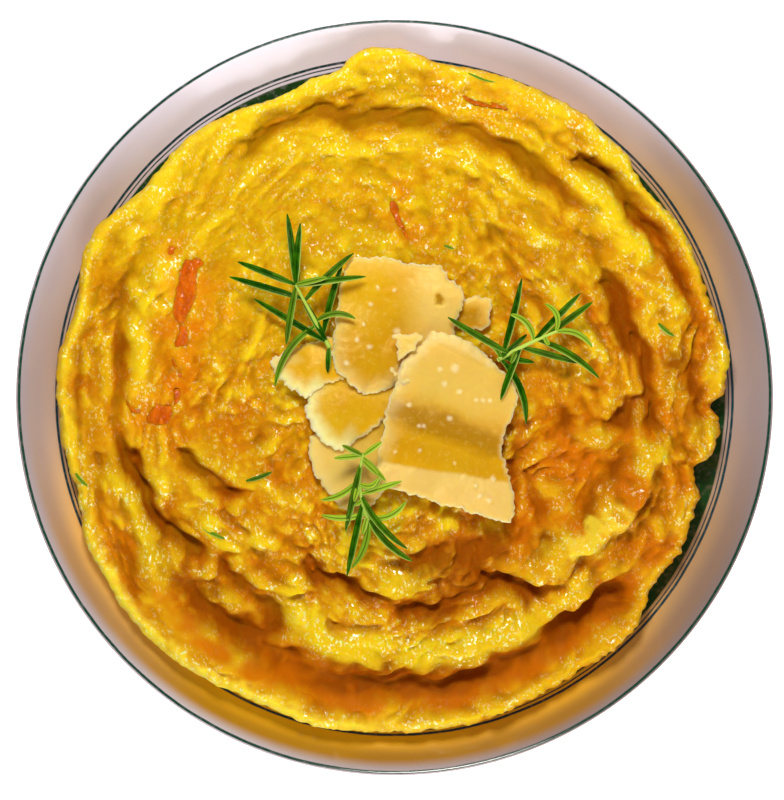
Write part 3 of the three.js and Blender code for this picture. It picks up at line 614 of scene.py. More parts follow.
def broken_rim(outline, step, crumbs, seed):
    """The outline as points a step apart, anticlockwise, that stray from it by about so much."""
    corners = np.array([*outline, outline[0]], float)
    doubled_area = np.sum(corners[:-1, 0] * corners[1:, 1] - corners[1:, 0] * corners[:-1, 1])
    if doubled_area < 0:
        corners = corners[::-1]
    lengths = np.cumsum([0, *np.hypot(*np.diff(corners, axis=0).T)])
    along = np.linspace(0, lengths[-1], int(lengths[-1] / step), endpoint=False)
    rim = np.stack([np.interp(along, lengths, corners[:, axis]) for axis in range(2)], axis=1)
    for _ in range(3):
        rim = (np.roll(rim, 1, axis=0) + 2 * rim + np.roll(rim, -1, axis=0)) / 4
    ahead = np.roll(rim, -1, axis=0) - np.roll(rim, 1, axis=0)
    outward = np.stack([ahead[:, 1], -ahead[:, 0]], axis=1) / np.linalg.norm(ahead, axis=1)[:, None]
    coarse = flat_ripple(rim[:, 0], rim[:, 1], 4.5, seed)
    fine = flat_ripple(rim[:, 0], rim[:, 1], 1.4, seed + 1)
    return rim + outward * (crumbs * (0.8 * coarse + 1.3 * fine))[:, None]


# The edge of a sheet bulges out, so far down from its upper side and by so many millimetres.
WAIST_SHARE = 0.45
WAIST_BULGE = 0.12


def make_sheet(rim, step, top, bottom):
    """Points and faces of a thin sheet inside a rim, and how far in from the rim each point is."""
    count = len(rim)
    low, high = rim.min(axis=0), rim.max(axis=0)
    x, y = np.meshgrid(np.arange(low[0], high[0], step), np.arange(low[1], high[1], step))
    spread = step * DICE.uniform(-0.3, 0.3, size=(2, *x.shape))
    x, y = (x + spread[0]).ravel(), (y + spread[1]).ravel()
    kept = distance_to(rim.tolist(), x, y) < -0.55 * step
    flat = np.concatenate([rim, np.stack([x[kept], y[kept]], axis=1)])
    found = delaunay_2d_cdt([Vector(point) for point in flat.tolist()], [], [list(range(count))], 1, 1e-5)
    flat = np.array([list(point) for point in found[0]])
    triangles = np.array(found[2])
    inset = np.maximum(0, -distance_to(rim.tolist(), flat[:, 0], flat[:, 1]))
    size = len(flat)
    upper = np.column_stack([flat, top(flat[:, 0], flat[:, 1], inset)])
    lower = np.column_stack([flat, bottom(flat[:, 0], flat[:, 1])])
    waist = mix(upper[:count], lower[:count], WAIST_SHARE)
    outward = waist[:, :2] - flat.mean(axis=0)
    waist[:, :2] += WAIST_BULGE * outward / np.linalg.norm(outward, axis=1)[:, None]
    ring = np.arange(count)
    faces = triangles.tolist() + (triangles[:, ::-1] + size).tolist()
    faces += band(ring, ring + 2 * size) + band(ring + 2 * size, ring + size)
    return np.concatenate([upper, lower, waist]), faces, np.concatenate([inset, 0 * inset, 0 * ring])


def join_sheets(sheets):
    """Several sheets as one."""
    points, faces, insets = zip(*sheets)
    starts = np.cumsum([0, *(len(part) for part in points)]).tolist()
    joined = [[start + corner for corner in face] for start, part in zip(starts, faces) for face in part]
    return np.concatenate(points), joined, np.concatenate(insets)


# ---- Shader nodes ----
class Nodes:
    """Adds nodes to a node tree; an input is a number, a colour, another node or one of its sockets."""

    def __init__(self, tree):
        self.tree = tree

    def add(self, kind, inputs=None, **settings):
        node = self.tree.nodes.new(kind if kind.startswith("NodeGroup") else "ShaderNode" + kind)
        for key, value in settings.items():
            setattr(node, key, value)
        for key, value in (inputs or {}).items():
            self.feed(node.inputs[key], value)
        return node

    def feed(self, socket, value):
        if isinstance(value, bpy.types.Node):
            value = value.outputs[0]
        if isinstance(value, bpy.types.NodeSocket):
            self.tree.links.new(value, socket)
        else:
            socket.default_value = (*value, 1) if socket.type == "RGBA" else value

    def math(self, operation, *values):
        return self.add("Math", dict(enumerate(values)), operation=operation)

    def blend(self, factor, a, b):
        """Colour a, going over to colour b as the factor goes from 0 to 1."""
        return self.add("Mix", {0: factor, 6: a, 7: b}, data_type="RGBA").outputs[2]

    def share(self, mask, strength):
        """So much of a mask that is painted on the mesh."""
        return self.math("MULTIPLY", self.mask(mask), strength)

    def ramp(self, value, low, high, start=0.0, end=1.0):
        """From start to end as the value goes from low to high."""
        inputs = {"Value": value, "From Min": low, "From Max": high, "To Min": start, "To Max": end}
        return self.add("MapRange", inputs, interpolation_type="SMOOTHSTEP")

    def mask(self, name):
        return self.add("Attribute", attribute_name=name).outputs["Fac"]

    def millimetres(self):
        metres = self.add("TexCoord").outputs["Object"]
        return self.add("VectorMath", {0: metres, "Scale": 1 / MM}, operation="SCALE")

    def noise(self, where, size, detail=2.0, roughness=0.5):
        inputs = {"Vector": where, "Scale": 1 / size, "Detail": detail, "Roughness": roughness}
        return self.add("TexNoise", inputs).outputs["Fac"]

    def bump(self, height, depth, normal=None):
        inputs = {"Height": height, "Distance": depth * MM, "Strength": 1.0}
        if normal is not None:
            inputs["Normal"] = normal
        return self.add("Bump", inputs)


def new_material(name):
    material = bpy.data.materials.new(name)
    material.use_nodes = True
    material.node_tree.nodes.clear()
    return material, Nodes(material.node_tree)


def finish_material(nodes, **inputs):
    """The Principled BSDF and the output, with the inputs given by their socket names."""
    shader = nodes.add("BsdfPrincipled", {key.replace("_", " "): value for key, value in inputs.items()})
    nodes.add("OutputMaterial", {"Surface": shader.outputs[0]})


def make_sized_group(name, result, make_value):
    """A node group that works a value out from places divided by a size."""
    group = bpy.data.node_groups.new(name, "ShaderNodeTree")
    group.interface.new_socket("Where", in_out="INPUT", socket_type="NodeSocketVector")
    group.interface.new_socket("Size", in_out="INPUT", socket_type="NodeSocketFloat")
    group.interface.new_socket(result, in_out="OUTPUT", socket_type="NodeSocketFloat")
    nodes = Nodes(group)
    given = nodes.add("NodeGroupInput").outputs
    scaled = nodes.add("VectorMath", {0: given["Where"], 1: given["Size"]}, operation="DIVIDE")
    nodes.add("NodeGroupOutput", {result: make_value(nodes, scaled)})
    return group


def grain_height(nodes, scaled):
    """Fine uneven relief of moist food: swells of two sizes."""
    return nodes.math("MULTIPLY_ADD", nodes.noise(scaled, 0.38, 3, 0.6), 0.45, nodes.noise(scaled, 1, 2))


def wet_spots(nodes, scaled):
    """Small spots where a film of fat or water glints."""
    return nodes.ramp(nodes.noise(scaled, 1, 2, 0.6), 0.57, 0.6)


GRAIN = make_sized_group("Moist grain", "Height", grain_height)
SPOTS = make_sized_group("Wet spots", "Wet", wet_spots)


def add_group(nodes, group, where, size):
    """Places a group in a material and gives the value it puts out."""
    node = nodes.tree.nodes.new("ShaderNodeGroup")
    node.node_tree = group
    nodes.feed(node.inputs["Where"], where)
    node.inputs["Size"].default_value = size
    return node.outputs[0]


# ---- Plate ----
def glaze_material():
    material, nodes = new_material("Glazed stoneware")
    where = nodes.millimetres()
    axes = nodes.add("SeparateXYZ", {0: where})
    flat = nodes.add("CombineXYZ", {0: axes.outputs[0], 1: axes.outputs[1]})
    radius = nodes.add("VectorMath", {0: flat}, operation="LENGTH").outputs["Value"]
    wobble = nodes.math("MULTIPLY_ADD", nodes.noise(where, 9), 0.3, -0.15)
    brushed = nodes.math("ADD", radius, wobble)

    def ring(inner, outer, soft):
        start = nodes.ramp(brushed, inner - soft, inner + soft)
        end = nodes.ramp(brushed, outer - soft, outer + soft, 1, 0)
        return nodes.math("MULTIPLY", start, end)

    # Painted light and shade on the glaze, from rosy grey to white.
    glaze = nodes.blend(nodes.mask("light"), GLAZE["rosy grey"], GLAZE["white"])
    on_rim = nodes.ramp(axes.outputs[2], RIM_Z, RIM_Z + 0.5)
    paint_wear = nodes.ramp(nodes.noise(where, 2.2, 3), 0.2, 0.55, 0.82, 1)
    # Painted glow of light from the egg on the rim, amber near the egg and honey further out, fading out
    # near the outer edge.
    golden = nodes.math("MULTIPLY", nodes.mask("golden"), nodes.ramp(brushed, 129.6, 133.6, 1, 0.05))
    honey = nodes.blend(nodes.ramp(brushed, 122, 129), GLAZE["amber"], GLAZE["honey"])
    colour = nodes.blend(golden, glaze, honey)
    for inner, outer, soft, paint in PAINTED_LINES:
        cover = nodes.math("MULTIPLY", nodes.math("MULTIPLY", ring(inner, outer, soft), on_rim), paint_wear)
        colour = nodes.blend(cover, colour, paint)
    skin = nodes.bump(nodes.noise(where, 7), 0.03)
    finish_material(nodes, Base_Color=colour, Roughness=0.14, Normal=skin, IOR=1.5)
    return material


def smooth_profile(points, steps):
    """Points on a smooth curve through the given ones, with so many steps between each two."""
    points = np.asarray(points, float)
    padded = np.vstack([2 * points[0] - points[1], points, 2 * points[-1] - points[-2]])
    curve = []
    for before, start, end, after in zip(padded, padded[1:], padded[2:], padded[3:]):
        reach = np.linalg.norm(end - start)
        lead = (end - before) / (reach + np.linalg.norm(start - before)) * reach
        trail = (after - start) / (np.linalg.norm(after - end) + reach) * reach
        for t in np.arange(steps) / steps:
            curve.append(
                (2 * t**3 - 3 * t**2 + 1) * start + (t**3 - 2 * t**2 + t) * lead
                + (3 * t**2 - 2 * t**3) * end + (t**3 - t**2) * trail
            )
    return np.array([*curve, points[-1]])


PLATE_CURVE = smooth_profile(PLATE_PROFILE[:TOP_POINTS], PROFILE_STEPS)


def plate_top(radius):
    """Height of the plate's upper side."""
    return np.interp(radius, PLATE_CURVE[:, 0], PLATE_CURVE[:, 1])


def make_plate():
    profile = smooth_profile(PLATE_PROFILE, PROFILE_STEPS)
    profile[:, 0] = np.clip(profile[:, 0], 0, PLATE_RADIUS)
    profile[:, 1] = np.clip(profile[:, 1], 0, PLATE_HEIGHT)
    directions = -np.arange(PLATE_TURNS) * 360 / PLATE_TURNS
    points = [[0, 0, profile[0, 1]], [0, 0, profile[-1, 1]]]
    for radius, z in profile[1:-1]:
        x, y = place(directions, radius)
        points.extend(np.stack([x, y, np.full_like(x, z)], axis=1).tolist())
    loops = 2 + np.arange(len(profile) - 2)[:, None] * PLATE_TURNS + np.arange(PLATE_TURNS)
    faces = []
    for k in range(PLATE_TURNS):
        faces.append([0, int(loops[0][k]), int(loops[0][(k + 1) % PLATE_TURNS])])
        faces.append([1, int(loops[-1][(k + 1) % PLATE_TURNS]), int(loops[-1][k])])
    for upper, lower in zip(loops, loops[1:]):
        faces.extend(band(upper, lower))
    points = np.array(points)
    direction = direction_of(points[:, 0], points[:, 1])
    on_rim = points[:, 2] > RIM_Z
    # Painted light and shade, by direction, on what lies higher than RIM_Z; lower down the glaze has one
    # even tone.
    light = mix(WELL_LIGHT, around(LIGHT_GLAZE, direction), on_rim)
    # Painted glow of light from the egg, on the rim alone.
    golden = around(GOLDEN, direction) * on_rim
    plate = make_piece("dinner_plate", points, faces, glaze_material(), golden=golden, light=light)
    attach(plate, "root")
    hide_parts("plate")


# ---- Frittata ----
def outline_radius(direction):
    """The frittata's radius, with the small ragged bays of its edge."""
    bays = edge_ripple(direction, 13, 5)
    ragged = edge_ripple(direction, 3.6, 6)
    crumbly = 0.35 * edge_ripple(direction, 1.5, 7)
    return around(OUTLINE, direction) + 0.8 * bays + 0.6 * ragged + around(CRUMBLY_EDGE, direction) * crumbly


def long_folds(direction, radius):
    """Height of the folds and furrows that run round the dish."""
    total = np.zeros_like(radius)
    for start, end, start_r, end_r, inner, outer, height in FOLDS:
        along = 0.5 + turn_from((start + end) / 2, direction) / (end - start)
        off = radius - mix(start_r, end_r, along)
        across = off / np.where(off < 0, inner, outer)
        ends = ease(0, FOLD_FADE, along) * ease(0, FOLD_FADE, 1 - along)
        total += height * ends * np.exp(-(across**2))
    return total


def patches(rows, direction, radius):
    """Soft patches laid round the dish."""
    total = np.zeros_like(radius)
    for at, at_r, along, across, strength in rows:
        aside = np.radians(turn_from(at, direction)) * at_r
        total += strength * np.exp(-((aside / along) ** 2) - ((radius - at_r) / across) ** 2)
    return total


def creases(direction, radius):
    """Height of the finer creases, steps and pits."""
    total = np.zeros_like(radius)
    for start, start_r, end, end_r, inner, outer, height in CREASES:
        middle_r = (start_r + end_r) / 2
        away = np.radians(turn_from(start, direction)) * middle_r
        reach = math.radians(end - start) * middle_r
        rise = end_r - start_r
        along = np.clip((away * reach + (radius - start_r) * rise) / (reach**2 + rise**2), 0, 1)
        aside = away - along * reach
        off = radius - start_r - along * rise
        width = 1.25 * np.where(off < 0, inner, outer)
        total += 0.6 * height * np.exp(-(((aside / inner) ** 2 + (off / width) ** 2) ** 0.9))
    return total


def crinkles(direction, radius, x, y):
    """Swells parted by creases, lying round the dish; on average they lie below zero."""
    drift = 9 * flat_ripple(x, y, 42, 8) + 3 * flat_ripple(x, y, 15, 9)
    sway = 4 * flat_ripple(x, y, 26, 10)
    total = np.full_like(radius, -0.6)
    for along, across, share, crease, seed in SWELLS:
        lying = round_ripple(direction + sway, radius + drift, along, across, seed)
        loose = flat_ripple(x + drift, y + sway, (along + across) / 2, seed)
        swell = mix(loose, lying, 0.75 * ease(15, 50, radius))
        creased = 2.2 * np.sqrt(swell**2 + 0.02) - 1
        total += share * mix(swell, creased, crease)
    uneven = np.clip(1 + 0.7 * flat_ripple(x, y, 34, 19), 0.4, 1.5)
    return total * uneven * around(CRINKLE, direction)


def under_cheese(z, x, y):
    """Keeps the egg below the shavings."""
    near = np.hypot(x, y) < CHEESE_REACH
    away = np.full(np.shape(x), np.inf)
    for shaving in SHAVINGS.values():
        away[near] = np.minimum(away[near], distance_to(shaving["outline"], x[near], y[near]))
    ceiling = CROWN_Z + 0.1 + 6 * ease(2, 9, away)
    knee = ceiling - CEILING_SOFTNESS
    levelled = ceiling - CEILING_SOFTNESS * np.exp(np.minimum(0, (knee - z) / CEILING_SOFTNESS))
    return np.where(z > knee, levelled, z)


def filling_pit(x, y):
    """How far the egg dips where a slice of the filling shows."""
    depth = np.zeros(np.shape(x))
    for outline in [row[2] for row in SLICES] + ORANGE_BITS:
        (low_x, low_y), (high_x, high_y) = np.min(outline, axis=0) - 4, np.max(outline, axis=0) + 4
        near = (x > low_x) & (x < high_x) & (y > low_y) & (y < high_y)
        depth[near] = np.maximum(depth[near], 1 - ease(-1, 0.1, distance_to(outline, x[near], y[near])))
    return PIT_DEPTH * depth


def frittata_height(direction, radius, edge, x, y):
    """Height of the top of the egg, where its edge is so far from the middle."""
    share = np.minimum(1, radius / edge)
    z = mix(CROWN_Z, LIP_Z, ease(CROWN_SHARE, LIP_SHARE, share))
    strays = [flat_ripple(x, y, size, 40 + size) * reach for reach, size in FOLD_WANDER]
    z += long_folds(direction, radius + sum(strays))
    wander = CREASE_WANDER * flat_ripple(x, y, 9, 12)
    twist = np.degrees(CREASE_WANDER * flat_ripple(x, y, 11, 13) / np.maximum(radius, 20))
    z += creases(direction + twist, radius + wander)
    smooth = np.clip(patches(SMOOTH, direction, radius), 0, 1)
    towards_edge = ease(0.8, 0.9, share)
    ruffled = (1 + 0.3 * towards_edge - 0.45 * ease(0.94, 1, share)) * (1 - 0.6 * smooth)
    z += ruffled * crinkles(direction, radius, x, y)
    fine = 0.28 * round_ripple(direction, radius, 5, 2.2, 14) + 0.14 * flat_ripple(x, y, 1.7, 15)
    z += (1 + 0.7 * towards_edge) * (1 - 0.8 * smooth) * fine
    z += 0.8 * ease(0.8, 0.95, share) * edge_ripple(direction, 12, 16)
    crisp = 0.7 + 0.6 * edge_ripple(direction, 4, 17)
    z += 0.9 * crisp * np.exp(-(((share - 0.972) / 0.009) ** 2))
    z = under_cheese(z, x, y)
    rolled = np.clip((share - SHOULDER_SHARE) / (1 - SHOULDER_SHARE), 0, 1)
    return mix(z, EDGE_Z, 1 - np.sqrt(1 - rolled**2))


def soften(grid, reach):
    """Mean over a square of cells round each one, three times over."""
    for _ in range(3):
        for axis in (0, 1):
            grid = np.moveaxis(grid, axis, 0)
            padded = np.concatenate([grid[:1].repeat(reach + 1, 0), grid, grid[-1:].repeat(reach, 0)])
            total = np.cumsum(padded, axis=0)
            grid = np.moveaxis((total[2 * reach + 1 :] - total[: -2 * reach - 1]) / (2 * reach + 1), 0, axis)
    return grid


def disc_grid(cells):
    """Direction and share of the radius for the points of a square grid that is wrapped onto a disc."""
    line = np.linspace(-1, 1, cells + 1)
    a, b = np.meshgrid(line, line, indexing="ij")
    wide = np.abs(a) > np.abs(b)
    reach = np.where(wide, a, b)
    other = np.where(wide, b, a)
    slant = math.pi / 4 * other / np.where(reach == 0, 1, reach)
    turn = np.where(wide, slant, math.pi / 2 - slant)
    x, y = reach * np.cos(turn), reach * np.sin(turn)
    return direction_of(x, y), np.hypot(x, y)


def glowing(marks, x, y):
    """The strongest of some soft round patches, with uneven edges."""
    most = np.zeros(np.shape(x))
    uneven = 1 + 0.5 * flat_ripple(x, y, 6, 34) + 0.3 * flat_ripple(x, y, 2, 35)
    for at_x, at_y, reach, strength in marks:
        away = np.hypot(x - at_x, y - at_y) / (reach * np.maximum(0.3, uneven))
        most = np.maximum(most, strength * np.exp(-(away**2)))
    return most


def browning(direction, radius, x, y):
    """How browned the egg is, in uneven patches."""
    total = patches(BROWNED, direction, radius)
    patchy = 0.65 + 0.8 * flat_ripple(x, y, 15, 21) + 0.4 * flat_ripple(x, y, 5, 22)
    return np.clip(total * patchy, 0, 1)


def egg_material():
    material, nodes = new_material("Cooked egg")
    where = nodes.millimetres()
    grain = add_group(nodes, GRAIN, where, 1.5)
    hollow = nodes.mask("hollow")
    browned = nodes.mask("browned")
    rough = nodes.math("SUBTRACT", 1, nodes.mask("calm"))
    patches_of_warmth = nodes.ramp(nodes.noise(where, 13, 3, 0.6), 0.36, 0.64)
    mottle = nodes.noise(where, 3.2, 4, 0.62)
    warm_side = nodes.math("MULTIPLY_ADD", nodes.mask("warm"), 0.95, -0.05)
    warm = nodes.math("MULTIPLY_ADD", patches_of_warmth, 0.5, warm_side)
    colour = nodes.blend(warm, EGG["yellow"], EGG["orange"])
    colour = nodes.blend(nodes.ramp(mottle, 0.5, 0.68, 0, 0.35), colour, EGG["light"])
    colour = nodes.blend(nodes.ramp(mottle, 0.5, 0.33, 0, 0.35), colour, EGG["dark"])
    # Painted light on the raised parts.
    colour = nodes.blend(nodes.share("crest", 0.85), colour, EGG["crest"])
    colour = nodes.blend(nodes.share("browned", 0.9), colour, EGG["browned"])
    # Painted shade in the hollows, browner where the egg is browned or warm.
    deep = nodes.blend(nodes.math("ADD", browned, warm), EGG["hollow"], EGG["browned hollow"])
    colour = nodes.blend(nodes.math("MINIMUM", hollow, 0.9), colour, deep)
    # Painted light, pale on the lip and on the brightest patches.
    colour = nodes.blend(nodes.mask("pale"), colour, EGG["pale"])
    colour = nodes.blend(nodes.mask("tinted"), colour, EGG["stained"])
    streaks = nodes.add("Mapping", {0: where, 2: (0, 0, 0.6), 3: (1, 0.75, 1)})
    drops = add_group(nodes, SPOTS, streaks, 1.05)
    clusters = nodes.ramp(nodes.noise(where, 7, 3), 0.43, 0.57, 0.08, 1)
    pale_or_flat = nodes.math("MULTIPLY_ADD", nodes.mask("pale"), 0.9, 0.18)
    raised = nodes.math("MULTIPLY_ADD", nodes.mask("crest"), 0.9, pale_or_flat)
    dull = nodes.math("MINIMUM", nodes.math("MULTIPLY_ADD", browned, 0.6, hollow), 1)
    wet = nodes.math("MULTIPLY", nodes.math("MULTIPLY", drops, clusters), raised)
    wet = nodes.math("MULTIPLY", nodes.math("MULTIPLY", wet, rough), nodes.math("SUBTRACT", 1, dull))
    wet = nodes.math("MINIMUM", wet, 1)
    # Painted glints: the colour goes pale where the coat glints.
    colour = nodes.blend(nodes.math("MULTIPLY", wet, 0.85), colour, EGG["wet"])
    fine = nodes.bump(nodes.math("MULTIPLY", nodes.noise(where, 0.8, 3, 0.6), rough), 0.2)
    normal = nodes.bump(nodes.math("MULTIPLY", grain, rough), 0.28, fine)
    finish_material(
        nodes, Base_Color=colour, Normal=normal, Roughness=0.5, IOR=1.5, Specular_IOR_Level=0.08,
        Specular_Tint=(1, 0.84, 0.22), Coat_Weight=wet, Coat_IOR=1.9, Coat_Roughness=0.25,
        Subsurface_Weight=0.8, Subsurface_Radius=(1, 0.38, 0.05), Subsurface_Scale=0.0045,
    )
    return material


def top_tones(direction, share, radius, x, y, z, near, broad):
    """The masks over the top of the egg, from its height and that height softened a little and a lot:
    painted light on the raised parts and the lip, painted shade in the hollows and the moat.
    """
    patchy = 0.85 + 0.6 * flat_ripple(x, y, 5, 25) + 0.4 * flat_ripple(x, y, 2, 26)
    # Painted light in patches.
    bright = patchy * patches(BRIGHT, direction, radius)
    # Painted shade in the hollows, in patches and at the bottom of the moat.
    hollow = 0.45 * ease(0, 0.9, near - z) + 0.65 * ease(0.1, 1.8, broad - near)
    moat = np.clip(patchy, 0.55, 1.3) * patches(MOAT, direction, radius)
    hollow = np.maximum(hollow + patchy * patches(DEEP, direction, radius), moat)
    # Painted light on the raised parts and in the patches of painted light.
    crest = 0.55 * ease(0, 0.8, z - near) + 0.6 * ease(0, 1.6, near - broad)
    tone = around(EDGE_TONE, direction)
    frayed = share + 0.02 * flat_ripple(x, y, 3, 24)
    crisp = np.maximum(-tone * ease(0.91, 0.98, frayed), 0.45 * tone * ease(0.87, 0.93, frayed))
    # Painted light, pale on the lip where the edge tone is above zero.
    pale_lip = np.maximum(0, tone) * ease(0.945, 0.985, frayed)
    return {
        "hollow": hollow * (1 - ease(0.93, 0.97, share)),
        "crest": np.minimum(1, crest + bright),
        "browned": np.maximum(browning(direction, radius, x, y), crisp),
        "pale": np.maximum(pale_lip, 0.75 * ease(0.7, 1.5, bright)),
        "tinted": glowing(TINTED, x, y),
        "calm": np.clip(0.9 * patches(SMOOTH, direction, radius), 0, 0.9),
        "warm": around(WARMTH, direction),
    }


def side_tones(direction, inset):
    """The same masks round the rolled edge and underneath, so far in from the edge: painted shade that
    deepens going under, and the painted light of the lip near the top.
    """
    shade = np.full(len(direction), min(1, inset / 8))
    none = np.zeros(len(direction))
    return {
        "hollow": 0.5 * shade, "crest": none, "browned": 0.35 + 0.3 * shade,
        "pale": np.maximum(0, around(EDGE_TONE, direction)) * (1 - shade), "tinted": none, "calm": none,
        "warm": around(WARMTH, direction),
    }


def puffed_top(share, x, y, z, broad):
    """Points over the top of the egg, puffed out and leaning, so that the swells overhang a little."""
    top = np.stack([x, y, z], axis=-1)
    slope = np.cross(np.gradient(top, axis=0), np.gradient(top, axis=1))
    slope /= np.linalg.norm(slope, axis=-1)[..., None]
    inner = 1 - ease(0.9, 0.98, share)
    outward = np.stack([soften(slope[..., 0], 1), soften(slope[..., 1], 1)], axis=-1)
    top[..., :2] += (PUFF * inner)[..., None] * outward
    lean = LEAN * inner * (z - broad)
    top[..., :2] += np.stack(place(LEAN_DIRECTION, lean), axis=-1)
    return top


def make_frittata():
    direction, share = disc_grid(CELLS)
    edge = outline_radius(direction)
    radius = share * edge
    x, y = place(direction, radius)
    z = frittata_height(direction, radius, edge, x, y) - filling_pit(x, y)
    near, broad = soften(z, 3), soften(z, 9)
    top = puffed_top(share, x, y, z, broad)
    number = np.arange(z.size).reshape(z.shape)
    corners = [number[:-1, :-1], number[1:, :-1], number[1:, 1:], number[:-1, 1:]]
    faces = np.stack(corners, axis=-1).reshape(-1, 4).tolist()
    upper = np.concatenate([number[:-1, 0], number[-1, :-1], number[:0:-1, -1], number[0, :0:-1]])
    loop_direction = direction.reshape(-1)[upper]
    loop_edge = edge.reshape(-1)[upper]
    points = [top.reshape(-1, 3)]
    tones = [top_tones(direction, share, radius, x, y, z, near, broad)]
    for inset, height in SIDE:
        lumps = 0.35 * round_ripple(loop_direction, 0 * loop_edge + height, 9, 3, 18)
        ring_x, ring_y = place(loop_direction, loop_edge - inset + lumps * min(1, inset))
        level = np.maximum(height, plate_top(np.hypot(ring_x, ring_y)) + PLATE_CLEARANCE)
        lower = np.arange(len(upper)) + sum(len(part) for part in points)
        points.append(np.stack([ring_x, ring_y, level], axis=1))
        tones.append(side_tones(loop_direction, inset))
        faces.extend(band(upper, lower))
        upper = lower
    faces.append(upper[::-1].tolist())
    masks = {name: np.concatenate([part[name].ravel() for part in tones]) for name in tones[0]}
    frittata = make_piece("folded_egg", np.concatenate(points), faces, egg_material(), **masks)
    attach(frittata, "root")
    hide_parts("frittata")


def egg_top(x, y):
    """Height of the top of the egg, without the pits for the filling."""
    direction = direction_of(x, y)
    return frittata_height(direction, np.hypot(x, y), outline_radius(direction), x, y)


# ---- Filling ----
def slice_material(name, colour, dark):
    material, nodes = new_material(name)
    where = nodes.millimetres()
    streaked = nodes.add("Mapping", {0: where, 3: (1, 0.5, 1)})
    streaks = nodes.ramp(nodes.noise(streaked, 2.4, 4, 0.6), 0.35, 0.65)
    body = nodes.blend(streaks, dark, colour)
    body = nodes.blend(nodes.share("edge", 0.4), body, SLICE["eggy edge"])
    grain = add_group(nodes, GRAIN, where, 1.2)
    wet = add_group(nodes, SPOTS, where, 1.1)
    finish_material(
        nodes, Base_Color=body, Roughness=0.5, IOR=1.5, Normal=nodes.bump(grain, 0.25),
        Specular_IOR_Level=0.1, Specular_Tint=(1, 0.7, 0.3), Coat_Weight=wet, Coat_IOR=1.6,
        Coat_Roughness=0.36, Subsurface_Weight=0.7, Subsurface_Radius=(1, 0.3, 0.08),
        Subsurface_Scale=0.003,
    )
    return material


def make_slices():
    materials = {
        "carrot": slice_material("Cooked carrot", SLICE["carrot"], SLICE["dark carrot"]),
        "ham": slice_material("Ham in the egg", SLICE["ham"], SLICE["dark ham"]),
    }

    def upper(x, y, inset):
        dome = 0.25 * flat_ripple(x, y, 3, 31)
        return egg_top(x, y) + SLICE_RISE + dome + 0.35 * ease(0, 2, inset)

    def under(x, y):
        return egg_top(x, y) - SLICE_ROOT

    for seed, (node, slot, outline) in enumerate(SLICES):
        rim = broken_rim(outline, SLICE_STEP, SLICE_CRUMBS, 40 + seed)
        points, faces, inset = make_sheet(rim, SLICE_STEP, upper, under)
        piece = make_piece(node + "_sliver", points, faces, materials[slot], edge=1 - ease(0, 1.1, inset))
        add_to_dish(piece, node)
    rims = [broken_rim(row, BIT_RIM_STEP, BIT_CRUMBS, 70 + seed) for seed, row in enumerate(ORANGE_BITS)]
    points, faces, inset = join_sheets([make_sheet(rim, BIT_STEP, upper, under) for rim in rims])
    bits = make_piece("orange_bits", points, faces, materials["carrot"], edge=1 - ease(0, 1, inset))
    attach(bits, "root")


# ---- Cheese ----
def cheese_bend(name, x, y):
    """How far the shaving's own shape raises it."""
    rise = np.zeros(np.shape(x))
    for direction, start, end, height in SHAVINGS[name]["steps"]:
        rise += height * (1 - ease(start, end, distance_along(direction, x, y)))
    for direction, start, slope in SHAVINGS[name]["curls"]:
        rise += slope * np.maximum(0, distance_along(direction, x, y) - start)
    return rise


def cheese_lift(name, x, y):
    """How far the shavings below lift this one."""
    lift = np.zeros(np.shape(x))
    for below in SHAVINGS[name]["over"]:
        carried = 1 - ease(*CHEESE_RAMP, distance_to(SHAVINGS[below]["outline"], x, y))
        reached = cheese_lift(below, x, y) + cheese_bend(below, x, y) + CHEESE_THICKNESS + CHEESE_GAP
        lift = np.maximum(lift, carried * reached)
    return lift


def cheese_underside(name, x, y):
    """Height of the underside of a shaving."""
    return CROWN_Z + CHEESE_GAP + cheese_lift(name, x, y) + cheese_bend(name, x, y)


def spots(marks, x, y, soft=1.5):
    """1 at the middle of each [x, y, reach] and 0 outside them all."""
    most = np.zeros(np.shape(x))
    for at_x, at_y, reach in marks:
        rough = reach * (1 + 0.35 * flat_ripple(x, y, 1.1, 33))
        most = np.maximum(most, 1 - ease(0.45, soft, np.hypot(x - at_x, y - at_y) / rough))
    return most


def cheese_tones(name, points, inset):
    """The masks for how peachy the shaving is, how deep its gold is with painted shade in places, and how
    much painted glow its edges have.
    """
    x, y = points[:, 0], points[:, 1]
    tones = SHAVINGS[name]
    peachy, deep, glow = np.zeros(len(x)), np.zeros(len(x)), np.zeros(len(x))
    stray = 2 * flat_ripple(x, y, 9, 36) + 0.8 * flat_ripple(x, y, 2.5, 37)
    for direction, full, gone, strength in tones["peachy"]:
        along = distance_along(direction, x, y) + stray * min(1, abs(gone - full) / 6)
        away = ease(full, gone, along) if full < gone else 1 - ease(gone, full, along)
        peachy = np.maximum(peachy, strength * (1 - away))
    for direction, middle, reach, strength in tones["deep"]:
        off = (distance_along(direction, x, y) + stray - middle) / reach
        deep = np.maximum(deep, strength * np.exp(-(off**2)))
    # Painted shade in the holes.
    holes = spots(CHEESE_HOLES.get(name, []), x, y)
    peachy *= 1 - holes
    deep = np.minimum(1, np.maximum(deep, holes) * (1 - peachy))
    middle = points[:, :2].mean(axis=0)
    outward = direction_of(x - middle[0], y - middle[1])
    # Painted glow on the edges that face each way.
    for direction, strength in tones["glow"]:
        facing = ease(0.1, 0.85, np.cos(np.radians(outward - direction)))
        glow = np.maximum(glow, strength * facing * (1 - ease(0.2, 6.5, inset + 0.5 * stray)))
    return {"peachy": peachy, "deep": deep, "glow": glow}


